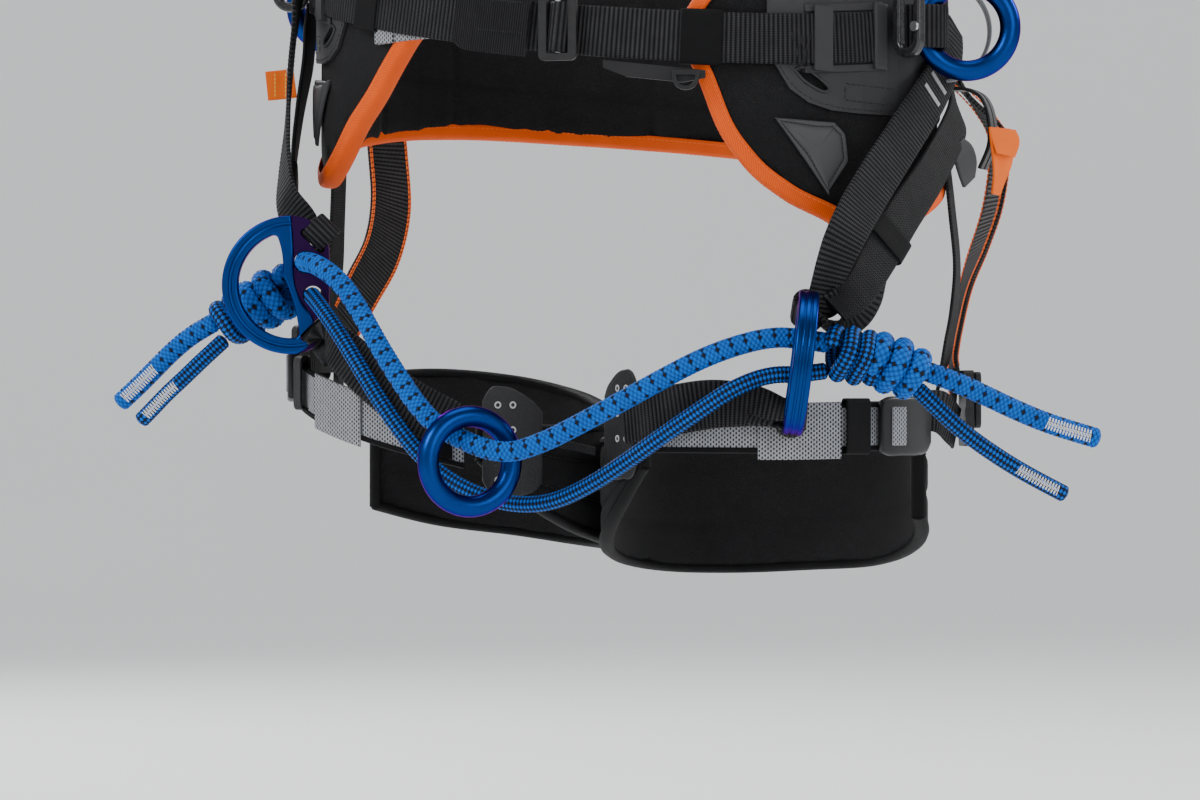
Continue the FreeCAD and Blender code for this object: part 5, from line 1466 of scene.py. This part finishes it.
LEG_PAD = [(-30, -262, -240), (-45, -285, -242), (-65, -305, -244), (-90, -318, -245), (-120, -326, -240),
           (-150, -328, -232), (-180, -326, -226), (-210, -322, -224), (-235, -312, -226)]
LEG_PAD_END = {"left": [(-252, -302, -230), (-266, -292, -236)], "right": []}
LEG_FRONT = {
    "left": [(85, -251, -222), (60, -251, -222), (30, -252, -223), (0, -252, -223), (-24, -252, -223)],
    "right": [(85, -219, -190), (60, -225, -196), (30, -238, -209), (0, -252, -223), (-24, -262, -233)],
}
LEG_LIFT = {"left": 0, "right": 22}
LEG_WIDTHS = [17, 25, 29, 30, 30]
LEG_STRAPS = {
    "left": ([(144, -135.5, -225.5), (124, -137, -224), (100, -138, -223.5), (70, -135, -228),
              (42, -124, -232)],
             [(0.35, -0.9, 0.35), (0.1, -1, 0.05), (0, -1, 0), (-0.4, -1, 0), (-0.7, -1, 0)]),
    "right": ([(-162, -115.5, -178), (-140, -131.5, -188), (-118, -138, -204), (-92, -139, -222),
               (-66, -133, -236)],
              [(-0.35, -0.9, 0.35), (-0.1, -1, 0.05), (0, -1, 0), (0.2, -1, 0), (0.5, -1, 0)]),
}
LEG_TAILS = {"left": [(139, -133, -230), (124, -134.5, -227)],
             "right": [(-156, -114, -184), (-140, -128.5, -191)]}


def leg_stations(side):
    return [(a, low + LEG_LIFT[side] * min(1, -a / 200), high + LEG_LIFT[side] * min(1, -a / 200))
            for a, low, high in LEG_PAD + LEG_PAD_END[side]]


def make_leg_pad(side, sign):
    """One leg loop's pad, swollen and then sewn along two lines."""
    stations = leg_stations(side)
    core = [(a, low + 0.6, high - 0.6) for a, low, high in stations]
    rings, _ = band_rings(leg_place(sign), core, -3.2, 3.4, step=2.0, rows=16, corner=1.4)
    pad = skin("leg_loop_pad_" + side, rings * MM, "pad_cloth", "black_mesh")
    inflated(pad, 0.0036)
    points = coordinates(pad.data) / MM
    flat = points[:, :2] - np.array([sign * THIGH_OFFSET, -THIGH_FRONT])
    reach = np.linalg.norm(flat, axis=1)
    angle = np.degrees(np.arctan2(sign * flat[:, 0], -flat[:, 1]))
    angle = np.where(angle > 0, angle - 360, angle)
    low, high = edge_at(stations, 1), edge_at(stations, 2)
    clipped = np.clip(angle, -266, -30)
    share = np.array([(z - low(a)) / (high(a) - low(a)) for z, a in zip(points[:, 2], clipped)])
    crease = np.exp(-((share - 0.33) * 26) ** 2) + np.exp(-((share - 0.67) * 26) ** 2)
    out = reach - THIGH_RADIUS
    settled = np.clip(out, -3.4, 4.2) - np.clip(out, -2, 3) * 0.5 * crease
    points[:, :2] += flat / reach[:, None] * (settled - out)[:, None]
    write_points(pad, points)
    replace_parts(pad, "leg_pad_" + side)
    rows, rims = [], []
    for along in (0.33, 0.67):
        angles = np.linspace(stations[0][0] - 8, stations[-1][0] + 8, 40)
        points = [leg_point(sign, a, low(a) + (high(a) - low(a)) * along, 3.0) for a in angles]
        rows.append((points, [leg_facing(sign, a) for a in angles]))
    stitches("leg_pad_seams_" + side, rows, "black_thread", "black_webbing", length=2.6, gap=1.2)
    for label, edge, way in (("low", low, 1.8), ("high", high, -1.8)):
        angles = np.linspace(stations[0][0], stations[-1][0], 60)
        rims.append((label, np.array([leg_point(sign, a, edge(a) + way, 0.4) for a in angles])))
    for label, angle in (("front", stations[0][0]), ("back", stations[-1][0])):
        heights = np.linspace(low(angle) + 1, high(angle) - 1, 12)
        rims.append((label, np.array([leg_point(sign, angle, height, 0.4) for height in heights])))
    for label, rim in rims:
        line = smooth_line(rim, 1.2)
        radial = line[:, :2] - np.array([sign * THIGH_OFFSET, -THIGH_FRONT])
        radial = np.column_stack([unit(radial), np.zeros(len(line))])
        beside = unit(np.cross(directions(line), radial))
        rings = [centre + oval(circle(12), look * 4.6, side_way * 3.0)
                 for centre, look, side_way in zip(line, radial, beside)]
        skin("leg_pad_rim_%s_%s" % (label, side), np.array(rings) * MM, "elastic", "black_webbing",
             uvs=[[(s, t) for t in np.linspace(0, 20, 12)] for s in run_lengths(line)])


def make_eyelet(centre, facing, upward):
    """A small ring eyelet round a hole."""
    facing = unit(facing)
    side = unit(np.cross(facing, upward))
    upward = np.cross(side, facing)
    rings = []
    for turn in circle(20):
        radial = side * math.cos(turn) + upward * math.sin(turn)
        rings.append([centre + radial * (1.65 + 0.5 * math.cos(t)) + facing * 0.45 * math.sin(t)
                      for t in circle(8)])
    return np.array(rings).reshape(-1, 3) * MM, grid_faces(20, 8, closed=True)


def disc(centre, facing, radius):
    """A shallow closed disc."""
    sides, deep = 16, 0.35
    facing = unit(facing)
    side = unit(np.cross(facing, (0.1, 0.2, 1)))
    upward = np.cross(side, facing)
    ring = oval(circle(sides), side, upward)
    rings = np.array([centre + ring * radius * 0.9 - facing * deep, centre + ring * radius,
                      centre + ring * radius * 0.9 + facing * deep])
    verts = np.concatenate([rings.reshape(-1, 3), [centre - facing * deep], [centre + facing * deep]])
    return verts * MM, tube_faces(3, sides)


def make_leg_front(side, sign):
    """The mesh band over the thigh, the perforated tab, the keeper and the buckle cover."""
    stations = LEG_FRONT[side]
    mesh_band = band("leg_mesh_band_" + side, leg_place(sign), stations, 1.2, 3.4, "grey_mesh", "grey_mesh",
                     step=0.6)
    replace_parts(mesh_band, "leg_band_" + side)
    low, high = edge_at(stations, 1), edge_at(stations, 2)
    flap = (45, 16) if side == "left" else (38, 14)
    band("leg_mesh_flap_" + side, leg_place(sign),
         [(a, low(a) - 4, high(a) + 0.5) for a in (flap[0], 27, flap[1])],
         4.4, 5.6, "grey_mesh", "grey_mesh", step=0.6)
    for label, edge, way in (("low", low, 1), ("high", high, -1)):
        tape = [(a, edge(a) + way * 1.6 - 1.9, edge(a) + way * 1.6 + 1.9) for a in (85, 60, 30, 0, -24)]
        band("leg_band_tape_%s_%s" % (label, side), leg_place(sign), tape, 1.0, 4.2, "elastic",
             "black_webbing", step=1.5, rows=5)
    low, high = stations[-1][1], stations[-1][2]
    tab = band("perforated_tab_" + side, leg_place(sign),
               [(-30.4, low - 8, high + 12), (-32, low - 13, high + 17), (-38, low - 16, high + 20),
                (-46, low - 16, high + 14), (-50, low - 13, high + 9), (-52, low - 9, high + 5)],
               4.8, 6.8, "leather", "black_leather", step=0.5)
    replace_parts(tab, "perforated_tabs")
    rings, holes = [], []
    for angle in (-35.5, -40.8):
        for height in np.linspace(low - 7, high + 9, 4):
            centre, facing = leg_point(sign, angle, height, 7.0), leg_facing(sign, angle)
            rings.append(make_eyelet(centre, facing, np.array([0, 0, 1.0])))
            # Each hole is a black disc on the solid tab: painted shade for the dark inside of the hole.
            holes.append(disc(centre - facing * 0.2, facing, 1.25))
    merged("tab_eyelets_" + side, rings, "grey_thread", "black_leather")
    merged("tab_holes_" + side, holes, "black_thread", "black_leather")
    low, high = stations[1][1], stations[1][2]
    middle = leg_point(sign, 51, (low + high) / 2, 4.6)
    loop = keeper("leg_keeper_" + side, middle, leg_point(sign, 56, 0, 4) - leg_point(sign, 46, 0, 4),
                  leg_facing(sign, 51), 17, 30.6, 4.4, 1.3)
    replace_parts(loop, "leg_keepers")
    low, high = stations[0][1], stations[0][2]
    cover = band("leg_cover_" + side, leg_place(sign),
                 [(60, low - 1, high + 1), (62, low - 2.4, high + 2.4), (70, low - 3, high + 3),
                  (80, low - 3, high + 3), (87, low - 1, high + 1), (90, low + 3, high - 3)],
                 5.8, 10.2, "dark_plastic", "black_plastic", step=0.6, corner=1.8)
    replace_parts(cover, "buckle_covers")
    band("leg_cover_window_" + side, leg_place(sign), [(64, low + 3, high - 3), (71, low + 3, high - 3)],
         9.6, 10.9, "grey_mesh", "grey_mesh", step=0.5, corner=0.5)


def make_legs():
    """Both leg loops and what is on them."""
    for side, sign in (("left", 1), ("right", -1)):
        make_leg_pad(side, sign)
        make_leg_front(side, sign)
        route, facings = LEG_STRAPS[side]
        ways, looks = through_slot("lower_" + side, LEG_TAILS[side])
        piece = strap("leg_webbing_" + side, list(route[:0:-1]) + list(ways),
                      list(-unit(facings[:0:-1])) + list(looks), LEG_WIDTHS[:0:-1] + [17] * 8 + [20, 26],
                      2.4, rib=3.2, rib_height=0.4)
        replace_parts(piece, "leg_strap_" + side)
    link = strap("leg_link", [(-16, -100, -246), (0, -96, -249), (14, -96, -252)], [(0, -1, 0)] * 3, 5, 2,
                 material="checker", rib=0)
    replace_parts(link, "leg_link_strap")
    low, high = -262, -233
    band("blank_label", leg_place(-1), [(-20, low + 5, high - 4), (-6, low + 10, high + 1)], 3.6, 4.5,
         "elastic", "black_webbing", step=0.7, corner=0.3)


# ---------------------------------------------------------------- kept CAD nodes

def finish_kept():
    """Better materials for the CAD nodes that stay."""
    left = ((0.1611, -0.1532, -0.1995), tuple(AWAY.cross(UP + ACROSS * 0.12).normalized()),
            tuple(AWAY))
    right = ((-0.1869, -0.1159, -0.1508), tuple(ACROSS.cross(UP).normalized()), tuple(ACROSS))
    # The plates' blue, and the purple painted on their webs as a painted sheen.
    blue_and_sheen_purple = (ANODISED_BLUE, (0.03, 0.005, 0.045))
    MATERIALS["dplate_left"] = plate_anodised_material("dplate_left", *blue_and_sheen_purple, *left)
    MATERIALS["dplate_right"] = plate_anodised_material("dplate_right", *blue_and_sheen_purple, *right)
    kept = {
        "dplate_left": ["bridge_dplate_left"],
        "dplate_right": ["bridge_dplate_right"],
        "blue": ["bridge_ring", "side_ring_left", "side_ring_right"],
        "coated": ["shackle_left", "shackle_right"],
        "steel": ["shackle_screws", "waist_buckle_bar"],
        "buckle": ["waist_buckle_frame", "adjuster_frame_left", "adjuster_frame_right", "adjuster_lever_left",
                   "adjuster_lever_right"],
        "dark_plastic": ["accessory_clip", "accessory_loop"],
        "plate": ["side_plate_left", "side_plate_right"],
    }
    for material, nodes in kept.items():
        for node in nodes:
            for slot in bpy.data.objects[node].material_slots:
                slot.material = MATERIALS[material]


make_studio()
make_waist_pad()
make_binding()
make_belt()
make_rubber_patches()
make_side_plates()
make_ring_loops()
make_hip_straps()
make_rear_straps()
make_ring_guards()
make_hip_extras()
make_legs()
finish_kept()
